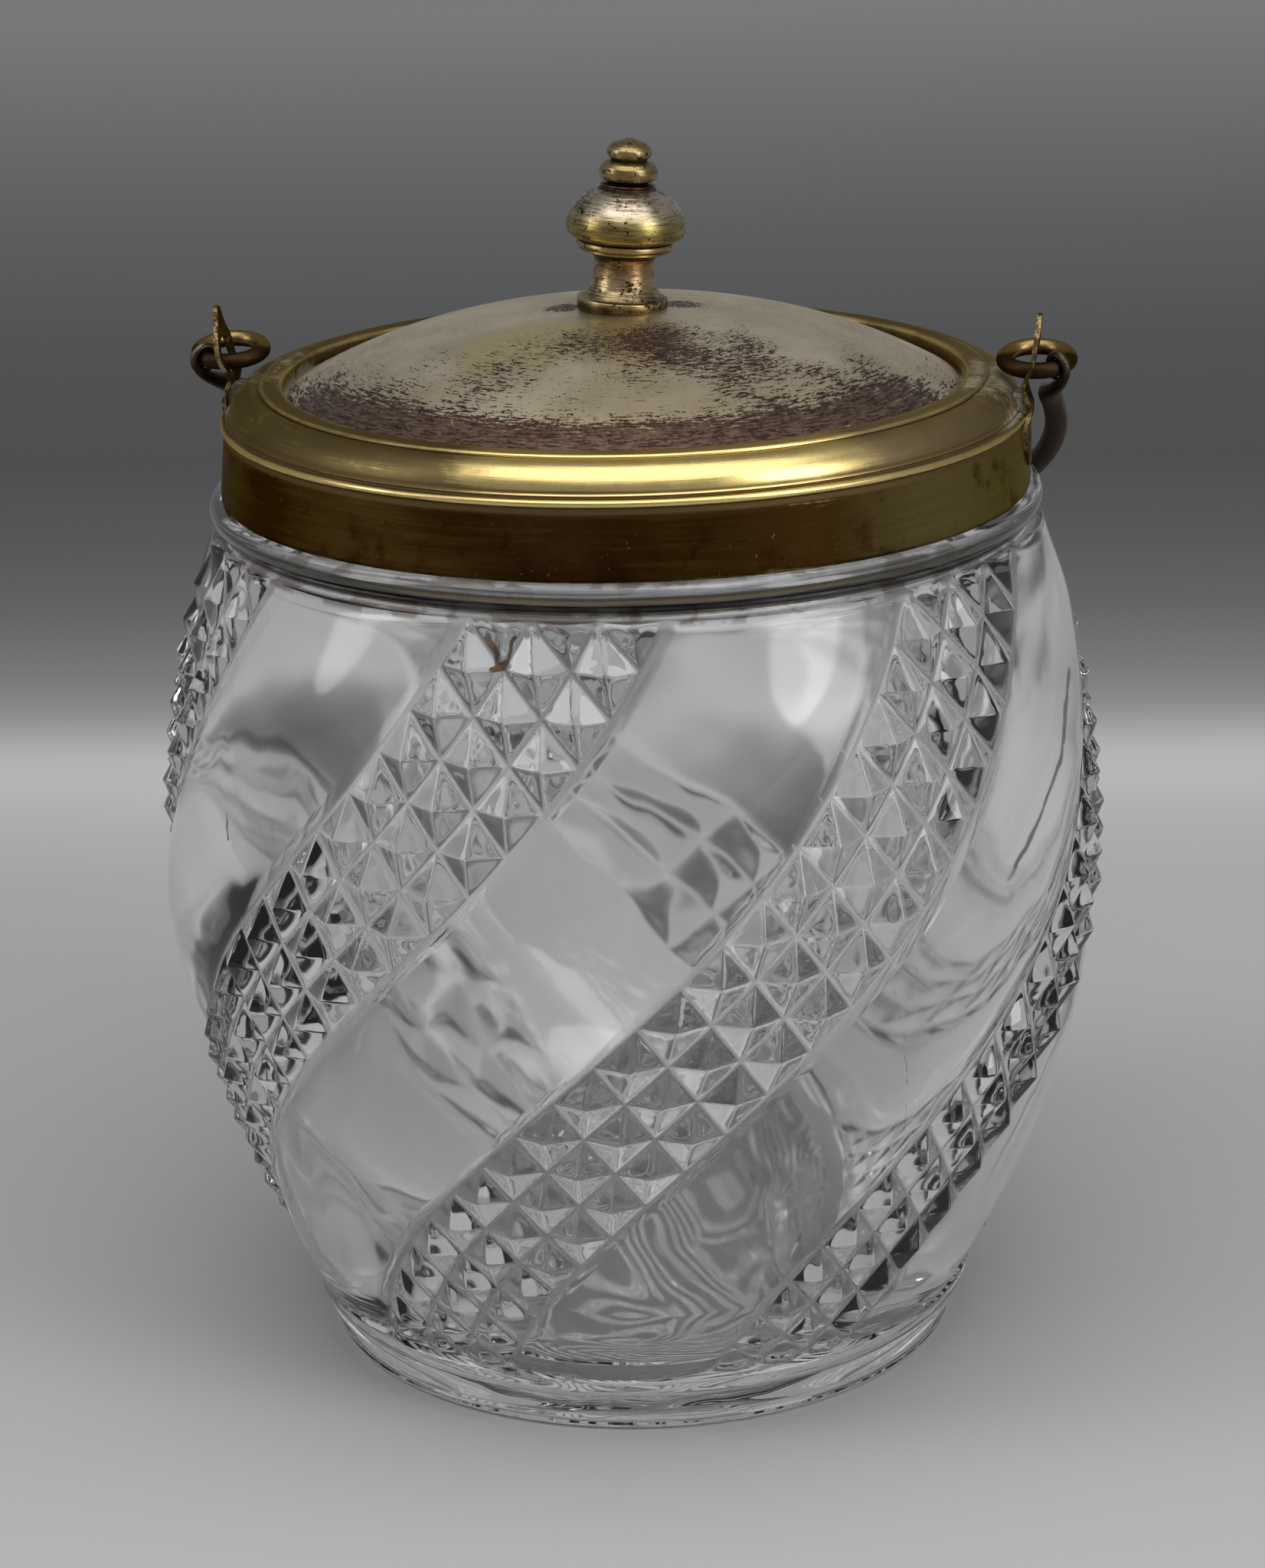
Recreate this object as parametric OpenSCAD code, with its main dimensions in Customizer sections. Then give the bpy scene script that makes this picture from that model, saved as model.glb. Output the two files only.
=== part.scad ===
// Biscuit jar: a swirl-pressed glass barrel with a spun brass collar, a swing bail
// linked to two soldered ears, and a lift-out domed lid with a turned finial.
// Units are millimetres. The origin is the centre of the foot's underside, +Z is up,
// the bail swings about a line along X, and it hangs down behind the jar, towards +Y.

/* [Glass barrel] */
// Radius of the ring that the glass stands on
foot_r = 46.6; // [42:0.2:49]
// Radius in the valleys of the pattern where the pattern starts, just above the foot
waist_r = 49.1; // [47:0.1:56]
// Radius in the valleys of the pattern at the belly
belly_r = 68.0; // [63:0.5:76]
// Height of the belly's widest line
belly_z = 77; // [60:1:95]
// How far the pattern's valleys stand outside the collar's lower edge, at the top edge
shoulder_out = 0.8; // [0.2:0.1:2]
// Height of the pattern's lower edge
pattern_low_z = 9.7; // [7:0.1:14]
// Height of the pattern's upper edge
pattern_top_z = 125.3; // [112:0.5:135]
// Bend of the barrel's outline: 2 is a parabola, less is straighter towards the ends
belly_bend = 1.8; // [1.6:0.05:2.4]
// Thickness of the glass wall behind the valleys
wall = 4.6; // [3:0.1:6]
// Thickness of the glass floor at its centre
floor_t = 7; // [5:0.5:12]
// Height of the hollow under the floor
kick_h = 2.2; // [1:0.1:4]
// Height of the rib that the collar stands on, above the pattern
rib_h = 5.1; // [4:0.1:7]
// Height of the plain glass neck above its rib
neck_h = 9.2; // [7:0.1:9.6]
// Thickness of the plain glass neck
neck_t = 6.6; // [5:0.1:7.6]

/* [Pressed pattern] */
// Number of diamond bands, and of the smooth swirls between them
bands = 6; // [4:1:8]
// Number of diamond columns across one band
band_cols = 3; // [2:1:4]
// Width of one smooth swirl, in diamond columns
swirl_cols = 4; // [3:1:6]
// Number of half rows of diamonds from the top edge to the lower edge
rows = 20; // [14:1:24]
// Height of a diamond's point above the valleys at the belly
diamond_h = 2.6; // [1.5:0.1:3.2]
// Height of a swirl's crown above the valleys at the belly
swirl_h = 2.5; // [1.5:0.1:3.2]
// Turn of the pattern from its top edge to its lower edge, in degrees
twist = 88; // [0:1:120]
// Share of that turn that is gathered round the belly
twist_ease = 0.29; // [0:0.01:0.6]
// How much taller the top rows are than the lower ones
row_ease = 0.1; // [0:0.01:0.3]
// Bearing of the first band's left edge at the top, in degrees from the front
pattern_turn = -12.2; // [-60:0.1:60]

/* [Brass collar] */
// Thickness of the spun sheet
sheet_t = 0.8; // [0.5:0.1:1]
// Radius of the collar at its lower edge
collar_r = 59.0; // [58.4:0.1:59.4]
// Height of the collar's plain band
collar_band_h = 10.1; // [9.8:0.1:12]
// How much narrower the band is at its top
collar_taper = 0.8; // [0:0.1:1.2]
// Radius of the bead's half-round section
bead_r = 0.55; // [0.3:0.05:0.7]
// How far the lip's outer edge stands inside the collar's lower edge
lip_inset = 6.1; // [5.6:0.1:6.8]
// Rise from the band's top to the top of the lip
shoulder_h = 6.0; // [5.6:0.1:8]
// Width of the lip, from its outer edge to the well where the lid drops in
lip_w = 3.4; // [2.9:0.1:3.8]
// Depth of the lid's seat below the top of the lip
seat_depth = 2.6; // [1.6:0.1:3.2]
// Width of the seat that carries the lid, from the well in to the throat
seat_w = 3.3; // [2.9:0.1:4.5]
// Length of the throat below the seat
throat_h = 6.6; // [5.6:0.1:9]

/* [Ears] */
// Thickness of the ears' sheet
ear_t = 0.7; // [0.5:0.05:0.9]
// Width of the ear's soldered foot
ear_foot_w = 9; // [7:0.5:12]
// Height of the ear's soldered foot
ear_foot_h = 7; // [5:0.5:8]
// Width of the ear's waist
ear_waist_w = 6; // [5:0.5:7]
// Radius of the ear's head round its hole
ear_head_r = 4.4; // [4:0.1:4.8]
// Height of the ear's tip above its hole's centre
ear_tip_h = 7.2; // [6:0.1:7.4]
// Radius of the ear's rounded tip
ear_tip_r = 2.0; // [1.5:0.1:2.5]
// Radius of the ear's hole
ear_hole_r = 2.7; // [2.65:0.05:3]
// Height of the hole's centre above the lip of the collar
ear_hole_rise = 1.9; // [1.6:0.1:3]
// How far the middle of the ear's sheet stands outside the collar's lower edge
ear_stand = 0.6; // [0.5:0.05:1]
// How far the ear's waist bends in behind its hole
ear_bend = 1.5; // [0.3:0.1:1.8]
// How far the ear's tip leans out beyond its hole
ear_flare = 0.8; // [0:0.05:0.8]
// Width of the solder behind each ear
solder_w = 5; // [3:0.5:6]

/* [Bail] */
// Radius of the bail's bar
bar_r = 1.7; // [1.4:0.1:1.9]
// Radius of the wire of the two link rings
link_wire_r = 1.2; // [1:0.05:1.25]
// Radius of a link ring, to the middle of its wire
link_r = 4.7; // [4.6:0.1:5.2]
// How far a link's wire hangs below the middle of the ear's hole
link_sag = 1.2; // [0.9:0.05:1.25]
// Rise of the links towards the back at rest, in degrees
link_tilt = 10; // [5:1:14]
// Turn round a link from the ear to the bail's eye, in degrees
eye_turn = 43; // [41:1:46]
// Radius of the eye at each end of the bail
eye_r = 2.2; // [2:0.05:2.3]
// Width of that eye
eye_w = 2.2; // [1.8:0.1:2.4]
// Clearance between a link's wire and the bail's eye
eye_gap = 0.1; // [0.05:0.01:0.15]
// How far the arms stand outside the middle of the ears at their widest
arm_out = 2.2; // [2:0.1:4]
// Distance from the hinge line to the middle of the arch
arch_off = 21.3; // [20.5:0.1:28]
// Clearance between the resting bail and the glass
bail_gap = 0.4; // [0.3:0.1:2]

/* [Lid] */
// Thickness of the lid's sheet
lid_t = 0.8; // [0.5:0.1:1]
// Radial clearance between the lid's rim and the collar's lip
lid_gap = 0.7; // [0.3:0.1:1]
// Height of the dome above the lid's rim
dome_h = 11.3; // [8:0.1:16]
// Power of the dome's curve: 2 is a round dome, more is flatter on top
dome_power = 2.4; // [2:0.1:3]
// Width of the flat under the rim, where the lid sits
rim_w = 1.4; // [1:0.1:2]
// Radial clearance between the lid's skirt and the collar's throat
skirt_gap = 0.5; // [0.3:0.1:0.8]
// Depth of the skirt below the lid's seat
skirt_h = 5; // [3:0.5:5.5]

/* [Finial] */
// Lean of the finial towards +X, where its stud has bent, in degrees
finial_lean = 4; // [0:0.5:5]
// Radius of the pedestal's foot
pedestal_r = 6.56; // [6:0.1:8]
// Height of the pedestal
pedestal_h = 9.4; // [8.4:0.1:12]
// Radius of the pedestal's neck
pedestal_neck_r = 4.2; // [3.4:0.1:5]
// Radius of the flange that carries the bulb
pedestal_top_r = 7.1; // [6.2:0.1:8]
// Radius of the bulb
bulb_r = 8.6; // [8:0.1:11]
// Height of the bulb
bulb_h = 8.0; // [7:0.1:10]
// Radius of the finial's bead
knop_r = 4.2; // [3.7:0.1:5]
// Height of the finial's bead
knop_h = 3.5; // [2.8:0.1:5]
// Radius of the cap
cap_r = 3.2; // [2.9:0.1:4]
// Height of the cap
cap_h = 3.6; // [3:0.1:5]
// Radius of the threaded stud
stud_r = 1.8; // [1.5:0.1:2]
// Width across the flats of the nut
nut_af = 7; // [6.5:0.5:8]
// Height of the nut
nut_h = 2.6; // [2:0.1:3.5]
// Radius of the washer
washer_r = 5.5; // [4.5:0.5:6]
// Thickness of the washer
washer_t = 0.8; // [0.5:0.1:1.2]

/* [Hidden] */
$fn = 96;

// Colours
glass_colour = [0.80, 0.85, 0.86, 0.55];
plaster_colour = [0.86, 0.84, 0.78];
brass_colour = [0.55, 0.47, 0.22];
link_colour = [0.62, 0.46, 0.20];
bar_colour = [0.25, 0.17, 0.11];
solder_colour = [0.45, 0.50, 0.40];
silver_colour = [0.72, 0.69, 0.60];

// Heights that pieces share
collar_z = pattern_top_z + rib_h;
neck_top_z = collar_z + neck_h;
band_top_z = collar_z + collar_band_h;
lip_z = band_top_z + shoulder_h;
seat_z = lip_z - seat_depth;
rim_z = seat_z + lid_t;
apex_z = rim_z + dome_h;
hinge_z = lip_z + ear_hole_rise;

// Radii that pieces share
band_top_r = collar_r - collar_taper;
plaster_t = 0.8;
neck_r = band_top_r - sheet_t - plaster_t;
mouth_r = neck_r - neck_t;
shoulder_r = collar_r + shoulder_out;
rib_r = collar_r + 1.9;
lip_r = collar_r - lip_inset;
lid_well_r = lip_r - lip_w;
throat_r = lid_well_r - seat_w;
lid_r = lid_well_r - lid_gap;
skirt_r = throat_r - skirt_gap;
ear_x = collar_r + ear_stand;
arch_r = ear_x + arm_out;

// ---------- small helpers ----------

// Points along an arc of radius r round c, from bearing a to bearing b
function arc(c, r, a, b, n = 8) =
    [for (i = [0:n]) c + r * [cos(a + (b - a) * i / n), sin(a + (b - a) * i / n)]];

// A point at radius r and height z, a degrees round from the front towards +X
function around(r, a, z) = [r * sin(a), -r * cos(a), z];

// Spin an outline of [radius, height] points round the Z axis
module turned(outline) {
    rotate_extrude()
        polygon(outline);
}

// ---------- glass barrel ----------

foot_flange_h = 1.6;
foot_band_top = pattern_low_z - 0.8;
groove_r = shoulder_r - 0.8;
rib_round = 1.7;
repeat_cols = band_cols + swirl_cols;
cols = bands * repeat_cols;

// Radius in the valleys at height z
function valley_r(z) = z < belly_z
    ? belly_r - (belly_r - waist_r)
        * pow((belly_z - z) / (belly_z - pattern_low_z), belly_bend)
    : belly_r - (belly_r - shoulder_r)
        * pow((z - belly_z) / (pattern_top_z - belly_z), belly_bend);

// The relief shrinks with the barrel's radius, as the diamonds do
function relief(h, z) = h * valley_r(z) / belly_r;

// Height and turn of row n: the rows lie closer lower down
function row_share(n) = n / rows;
function row_z(n) = pattern_top_z - (pattern_top_z - pattern_low_z)
    * (row_share(n) + row_ease * row_share(n) * (1 - row_share(n)));
function row_turn(n) = twist * ((1 - twist_ease) * row_share(n)
    + twist_ease * (1 - cos(180 * row_share(n))) / 2);
function line_turn(g, n) = pattern_turn + 360 / cols * g - row_turn(n);

// Crown of a swirl across its width; the crown starts lower at the neck
function swirl_share(g) = max(0, (g % repeat_cols) - band_cols) / swirl_cols;
function crown(g, n) = swirl_h * (n == 0 ? 0.5 : 1)
    * (1 - pow(2 * swirl_share(g) - 1, 2));
function is_swirl(g) = g % repeat_cols >= band_cols;

// Grid point where line g crosses row n
function grid_point(g, n) = around(
    valley_r(row_z(n)) + (is_swirl(g) ? relief(crown(g, n), row_z(n)) : 0),
    line_turn(g, n), row_z(n));

// Point of the diamond between lines g and g + 1 whose middle is on row n
function tip_point(g, n, share = 1) = around(
    valley_r(row_z(n)) + share * relief(diamond_h, row_z(n)),
    (line_turn(g, n) + line_turn(g + 1, n)) / 2, row_z(n));

// The skin's points are the grid, then the diamond points, then the foot's rings
function grid_index(g, n) = n * cols + g % cols;
function tip_index(g, n) = (rows + 1) * cols + n * cols + g % cols;
grid_points = [for (n = [0:rows], g = [0:cols - 1]) grid_point(g, n)];
tip_points = [for (n = [0:rows], g = [0:cols - 1])
    tip_point(g, n, n == 0 || n == rows ? 0.7 : 1)];

// The edge of the pattern at row n passes through the cut diamonds' points
function edge(n) = [for (g = [0:cols - 1])
    each (is_swirl(g) ? [grid_index(g, n)] : [grid_index(g, n), tip_index(g, n)])];
top_edge = edge(0);
low_edge = edge(rows);
function edge_turns(n) = [for (g = [0:cols - 1]) each (is_swirl(g) ? [line_turn(g, n)]
    : [line_turn(g, n), (line_turn(g, n) + line_turn(g + 1, n)) / 2])];
edge_count = len(low_edge);

// Two plain rings close the skin at the foot, and one slopes in under the neck's groove
foot_start = 2 * (rows + 1) * cols;
foot_rings = [[waist_r + 1.5, foot_band_top], [foot_r + 0.6, foot_flange_h]];
foot_points = [for (ring = foot_rings, a = edge_turns(rows)) around(ring[0], a, ring[1])];
function foot_index(ring, i) = foot_start + ring * edge_count + i % edge_count;
neck_start = foot_start + len(foot_rings) * edge_count;
neck_points = [for (a = edge_turns(0)) around(groove_r - 1.5, a, pattern_top_z + 0.4)];
function neck_index(i) = neck_start + i % edge_count;

// Two triangles over a four-cornered patch given clockwise from its upper left
function patch(a, b, c, d) = [[a, b, c], [a, c, d]];

swirl_faces = [for (g = [0:cols - 1], n = [0:rows - 1]) if (is_swirl(g))
    each patch(grid_index(g, n), grid_index(g + 1, n),
               grid_index(g + 1, n + 1), grid_index(g, n + 1))];

// A whole diamond hangs from line g at row n; its tip is one row lower
function diamond_faces(g, n) = let (top = grid_index(g, n),
    right = grid_index(g + 1, n + 1), low = grid_index(g + 1, n + 2),
    left = grid_index(g, n + 1), tip = tip_index(g, n + 1))
    [[top, right, tip], [right, low, tip], [low, left, tip], [left, top, tip]];

function cut_top_faces(g) = let (tip = tip_index(g, 0), low = grid_index(g + 1, 1))
    [[tip, grid_index(g + 1, 0), low], [grid_index(g, 0), tip, low]];

function cut_low_faces(g) = let (tip = tip_index(g, rows), top = grid_index(g, rows - 1))
    [[top, grid_index(g + 1, rows), tip], [top, tip, grid_index(g, rows)]];

band_faces = [for (g = [0:cols - 1]) if (!is_swirl(g)) each concat(
    cut_top_faces(g), cut_low_faces(g),
    [for (n = [0:rows - 2]) each diamond_faces(g, n)])];

foot_faces = [for (i = [0:edge_count - 1]) each concat(
    patch(low_edge[i], low_edge[(i + 1) % edge_count], foot_index(0, i + 1), foot_index(0, i)),
    patch(foot_index(0, i), foot_index(0, i + 1), foot_index(1, i + 1), foot_index(1, i)))];

neck_faces = [for (i = [0:edge_count - 1]) each
    patch(neck_index(i), neck_index(i + 1), top_edge[(i + 1) % edge_count], top_edge[i])];

top_cap = [for (i = [edge_count - 1:-1:0]) neck_index(i)];
foot_cap = [for (i = [0:edge_count - 1]) foot_index(1, i)];

module pressed_skin() {
    polyhedron(
        points = concat(grid_points, tip_points, foot_points, neck_points),
        faces = concat(swirl_faces, band_faces, foot_faces, neck_faces, [top_cap, foot_cap]));
}

module foot_flange() {
    turned([[0, 0], [foot_r - 0.5, 0], [foot_r, 0.4], [foot_r + 1, 1.4],
            [foot_r + 1, foot_flange_h + 0.2], [foot_r + 0.4, foot_flange_h + 0.6],
            [0, foot_flange_h + 0.6]]);
}

// The groove, the rib under the collar and the plain neck
module neck() {
    turned(concat(
        [[0, pattern_top_z - 1], [groove_r, pattern_top_z - 1], [groove_r, pattern_top_z + 1]],
        arc([rib_r - rib_round, collar_z - rib_round], rib_round, -60, 60, 6),
        [[rib_r - 0.9 * rib_round, collar_z], [neck_r, collar_z], [neck_r, neck_top_z],
         [0, neck_top_z]]));
}

inner_corner = 9;
floor_z = kick_h + floor_t;
corner_z = floor_z + inner_corner;
corner_r = valley_r(corner_z) - wall;
wall_steps = 14;

module barrel_hollow() {
    shoulder_z = pattern_top_z - 1;
    turned(concat(
        [[0, floor_z]],
        arc([corner_r - inner_corner, corner_z], inner_corner, -90, 0, 6),
        [for (i = [1:wall_steps]) let (z = corner_z + (shoulder_z - corner_z) * i / wall_steps)
            [valley_r(z) - wall, z]],
        [[mouth_r + 1.6, collar_z - 0.6], [mouth_r, collar_z + 1.4],
         [mouth_r, neck_top_z + 1], [0, neck_top_z + 1]]));
}

module kick_hollow() {
    kick_r = foot_r - 5;
    turned(concat(
        [[0, -1], [kick_r, -1]],
        [for (i = [0:6]) [kick_r * (1 - i / 6), kick_h * (1 - pow(1 - i / 6, 4))]]));
}

module glass_jar() {
    color(glass_colour)
    difference() {
        union() {
            pressed_skin();
            foot_flange();
            neck();
        }
        barrel_hollow();
        kick_hollow();
    }
}

// ---------- collar ----------

shoulder_round = band_top_z + shoulder_h - 0.5;
shoulder_start = band_top_z + 2 * bead_r + 0.4;
round_r = shoulder_round - shoulder_start;
round_c = [band_top_r - 0.8 - round_r, shoulder_start];
bead_c = [band_top_r - 0.05, band_top_z + bead_r];

// Outer radius of the band at height z
function band_r(z) = collar_r - collar_taper * (z - collar_z) / collar_band_h;

bead_path = arc(bead_c, bead_r, -80, 80, 6);
shoulder_path = concat(
    [[band_top_r - 0.6, band_top_z + 2 * bead_r + 0.05],
     [band_top_r - 0.45, band_top_z + 2 * bead_r + 0.2]],
    arc(round_c, round_r, 0, 90, 10));

module collar() {
    color(brass_colour)
    turned(concat(
        [[collar_r, collar_z], [band_top_r, band_top_z]],
        bead_path,
        shoulder_path,
        [[lip_r - 0.1, shoulder_round - 0.25], [lip_r, shoulder_round + 0.15],
         [lip_r - 0.35, lip_z], [lid_well_r + 0.4, lip_z], [lid_well_r, lip_z - 0.4],
         [lid_well_r, seat_z], [throat_r + 0.6, seat_z], [throat_r, seat_z - 0.6],
         [throat_r, seat_z - throat_h], [throat_r + sheet_t, seat_z - throat_h],
         [throat_r + sheet_t, seat_z - sheet_t], [lid_well_r + sheet_t, seat_z - sheet_t],
         [lid_well_r + sheet_t, shoulder_round - sheet_t]],
        arc(round_c, round_r - sheet_t, 90, 0, 8),
        [[band_top_r - sheet_t, band_top_z], [collar_r - sheet_t, collar_z]]));
}

module plaster_bed() {
    low_z = collar_z + 0.5;
    top_z = band_top_z;
    color(plaster_colour)
    turned([[neck_r, low_z], [band_r(low_z) - sheet_t, low_z],
            [band_r(top_z) - sheet_t, top_z], [throat_r + sheet_t, top_z],
            [throat_r + sheet_t, seat_z - throat_h + 0.5],
            [mouth_r, seat_z - throat_h + 0.5], [mouth_r, neck_top_z],
            [neck_r, neck_top_z]]);
}

// ---------- ears ----------

ear_low_z = band_top_z - ear_foot_h;
ear_in_x = ear_x - ear_t / 2;

// Inner face of the ear from its foot up: flat on the band, out over the bead,
// in at the waist, and slightly out again to the tip
ear_path = [[band_r(ear_low_z), ear_low_z], [band_r(band_top_z - 0.6), band_top_z - 0.6],
            [bead_c.x + bead_r + 0.05, bead_c.y],
            [ear_in_x - 0.4 * ear_bend, bead_c.y + 1.7],
            [ear_in_x - 0.8 * ear_bend, bead_c.y + 3.2],
            [ear_in_x - ear_bend, lip_z - 1],
            [ear_in_x - 0.25 * ear_bend, hinge_z - 0.8],
            [ear_in_x, hinge_z + 0.8],
            [ear_in_x + ear_flare, hinge_z + ear_tip_h + 0.5]];
ear_back = [for (i = [len(ear_path) - 1:-1:0]) ear_path[i] + [ear_t, 0]];

// Outline of the ear seen from the side, as [y, z] points from the hinge line
foot_end_z = ear_low_z - hinge_z;
waist_z = lip_z - 1.5 - hinge_z;
head_turn = 55;
tip_turn = 20;
half_outline = concat(
    arc([0, foot_end_z + ear_foot_w / 2], ear_foot_w / 2, -90, 0, 8),
    [[ear_foot_w / 2, band_top_z - 1 - hinge_z], [ear_waist_w / 2 + 0.4, bead_c.y + 1 - hinge_z],
     [ear_waist_w / 2, waist_z]],
    arc([0, 0], ear_head_r, -25, head_turn, 8),
    arc([0, ear_tip_h - ear_tip_r], ear_tip_r, tip_turn, 90, 6));
ear_outline = concat(half_outline,
    [for (i = [len(half_outline) - 2:-1:1]) [-half_outline[i].x, half_outline[i].y]]);

// The right-hand ear; side is 1 at +X and -1 at -X
module ear(side) {
    mirror([side < 0 ? 1 : 0, 0, 0])
    difference() {
        intersection() {
            rotate([0, 0, -8])
                rotate_extrude(angle = 16)
                    polygon(concat(ear_path, ear_back));
            translate([ear_x - 6, 0, hinge_z])
                rotate([90, 0, 90])
                    linear_extrude(12)
                        polygon(ear_outline);
        }
        translate([ear_x - 6, 0, hinge_z])
            rotate([0, 90, 0])
                cylinder(r = ear_hole_r, h = 12);
    }
}

module left_ear() {
    color(brass_colour)
        ear(-1);
}

module right_ear() {
    color(brass_colour)
        ear(1);
}

// Solder fills the wedge between the shoulder and the ear above the bead
module solder(side) {
    turn = asin(solder_w / 2 / collar_r);
    top_z = ear_path[4].y;
    mirror([side < 0 ? 1 : 0, 0, 0])
    rotate([0, 0, -turn])
        rotate_extrude(angle = 2 * turn)
            difference() {
                polygon([[round_c.x, bead_c.y], ear_path[2], ear_path[3], ear_path[4],
                         [round_c.x, top_z]]);
                polygon(concat([[round_c.x - 1, band_top_z]], [[band_top_r, band_top_z]],
                               bead_path, shoulder_path, [[round_c.x - 1, shoulder_round]]));
            }
}

module left_solder() {
    color(solder_colour)
        solder(-1);
}

module right_solder() {
    color(solder_colour)
        solder(1);
}

// ---------- bail ----------

// Outermost radius of the jar at height z
function crest_r(z) = z < pattern_top_z
    ? valley_r(z) + relief(max(diamond_h, swirl_h), z)
    : z < collar_z ? rib_r : collar_r + bead_r;

// Point of the arch b degrees round from its side, when it drops d degrees below level
function arch_point(b, d) = let (q = arch_off + arch_r * sin(b))
    [arch_r * cos(b), q * cos(d), hinge_z - q * sin(d)];
function arch_room(d) = min([for (b = [0:10:90]) let (p = arch_point(b, d))
    norm([p.x, p.y]) - crest_r(p.z)]) - bar_r;

// The bail drops as far as it can while it clears the glass by bail_gap
function rest_drop(d = 10) = d > 60 || arch_room(d + 0.25) < bail_gap / cos(15)
    ? d : rest_drop(d + 0.25);
bail_drop = rest_drop();

// Put children at the middle of the right-hand link, in its plane
module link_plane() {
    translate([ear_x, 0, hinge_z - link_sag])
        rotate([link_tilt, 0, 0])
            translate([0, link_r, 0])
                children();
}

// The link's wire goes through the ear's hole and lies back from it
module link(side) {
    mirror([side < 0 ? 1 : 0, 0, 0])
        link_plane()
            rotate_extrude()
                translate([link_r, 0])
                    circle(link_wire_r, $fn = 48);
}

module left_link() {
    color(link_colour)
        link(-1);
}

module right_link() {
    color(link_colour)
        link(1);
}

// In the arch's own plane, x is across the jar and y runs back from the hinge line
module arch_plane() {
    translate([0, 0, hinge_z])
        rotate([-bail_drop, 0, 0])
            children();
}

// The eye sits on the link's wire, eye_turn round from the ear. Its straight bore is
// wide enough for the bent wire.
wire_bend = eye_w * eye_w / 8 / link_r;
eye_along = link_r * (1 - cos(eye_turn));
eye_place = [eye_along * cos(link_tilt), eye_along * sin(link_tilt) - link_sag];
eye_q = eye_place[0] * cos(bail_drop) - eye_place[1] * sin(bail_drop);
eye_rise = eye_place[0] * sin(bail_drop) + eye_place[1] * cos(bail_drop);
eye_x = ear_x + link_r * sin(eye_turn);

// The arm runs straight past the ear and then bends in to the arch
arm_turn = 7;
arm_end = [arch_r * cos(arm_turn), arch_off - arch_r * sin(arm_turn)];
arm_aim = [sin(arm_turn), cos(arm_turn)];
arm_start_pull = 6;
arm_end_pull = 3;
arm_dip = 2;
arm_root_r = 1;
arm_pins = [[eye_x, eye_q, eye_rise], [eye_x, eye_q + arm_start_pull, -arm_dip],
            [arm_end.x - arm_end_pull * arm_aim.x, arm_end.y - arm_end_pull * arm_aim.y, 0],
            [arm_end.x, arm_end.y, 0]];
arm_steps = 8;
arm_sides = 16;
function arm_point(t) = pow(1 - t, 3) * arm_pins[0] + 3 * pow(1 - t, 2) * t * arm_pins[1]
    + 3 * (1 - t) * t * t * arm_pins[2] + pow(t, 3) * arm_pins[3];
function arm_radius(t) = arm_root_r + (bar_r - arm_root_r) * t;

// Rings of points round the arm; each ring lies across the arm's direction there
function arm_ring(t) = let (
    aim = arm_point(min(1, t + 0.02)) - arm_point(max(0, t - 0.02)),
    ahead = aim / norm(aim), out = cross(ahead, [0, 0, 1]) / norm(cross(ahead, [0, 0, 1])),
    up = cross(out, ahead))
    [for (k = [0:arm_sides - 1]) arm_point(t)
        + arm_radius(t) * (cos(360 * k / arm_sides) * out + sin(360 * k / arm_sides) * up)];

module arm() {
    overrun = [arm_aim.x, arm_aim.y, 0];
    end_ring = [for (p = arm_ring(1)) p + overrun];
    rings = concat([for (i = [0:arm_steps]) each arm_ring(i / arm_steps)], end_ring);
    last = arm_steps + 1;
    polyhedron(points = rings, faces = concat(
        [[for (k = [arm_sides - 1:-1:0]) k]],
        [for (i = [0:last - 1], k = [0:arm_sides - 1]) each patch(
            i * arm_sides + k, i * arm_sides + (k + 1) % arm_sides,
            (i + 1) * arm_sides + (k + 1) % arm_sides, (i + 1) * arm_sides + k)],
        [[for (k = [0:arm_sides - 1]) last * arm_sides + k]]));
}

// A disc or a bore across the link's wire at the bail's eye
module across_wire(r, w, shift = 0) {
    link_plane()
        rotate([0, 0, eye_turn])
            translate([0, shift - link_r, 0])
                rotate([0, 90, 0])
                    cylinder(r = r, h = w, center = true);
}

module bail_end() {
    difference() {
        union() {
            across_wire(eye_r, eye_w);
            arch_plane()
                arm();
        }
        across_wire(link_wire_r + wire_bend / 2 + eye_gap, eye_w + 2, wire_bend / 2);
    }
}

module bail_bar() {
    color(bar_colour)
    union() {
        arch_plane()
            translate([0, arch_off, 0])
                rotate([0, 0, -arm_turn])
                    rotate_extrude(angle = 180 + 2 * arm_turn)
                        translate([arch_r, 0])
                            circle(bar_r, $fn = 48);
        bail_end();
        mirror([1, 0, 0])
            bail_end();
    }
}

// ---------- lid ----------

dome_steps = 16;
function dome_z(r) = apex_z - dome_h * pow(r / lid_r, dome_power);
dome_top = [for (i = [0:dome_steps]) let (r = lid_r * i / dome_steps) [r, dome_z(r)]];
dome_under = concat([[0, apex_z - lid_t]],
    [for (i = [1:dome_steps - 1]) let (r = (lid_r - rim_w) * i / (dome_steps - 1))
        [r, max(seat_z, dome_z(r) - lid_t)]],
    [[lid_r - rim_w, seat_z], [lid_r, seat_z]]);
hole_gap = 0.2;

module lid_dome() {
    color(silver_colour)
    difference() {
        turned(concat(dome_top, [for (i = [len(dome_under) - 1:-1:0]) dome_under[i]]));
        translate([0, 0, apex_z - 5])
            cylinder(r = stud_r + bend_r + hole_gap, h = 10);
    }
}

// The solid that fills everything above the dome's underside
module above_dome() {
    turned(concat(dome_under, [[lid_r, apex_z + 10], [0, apex_z + 10]]));
}

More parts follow.
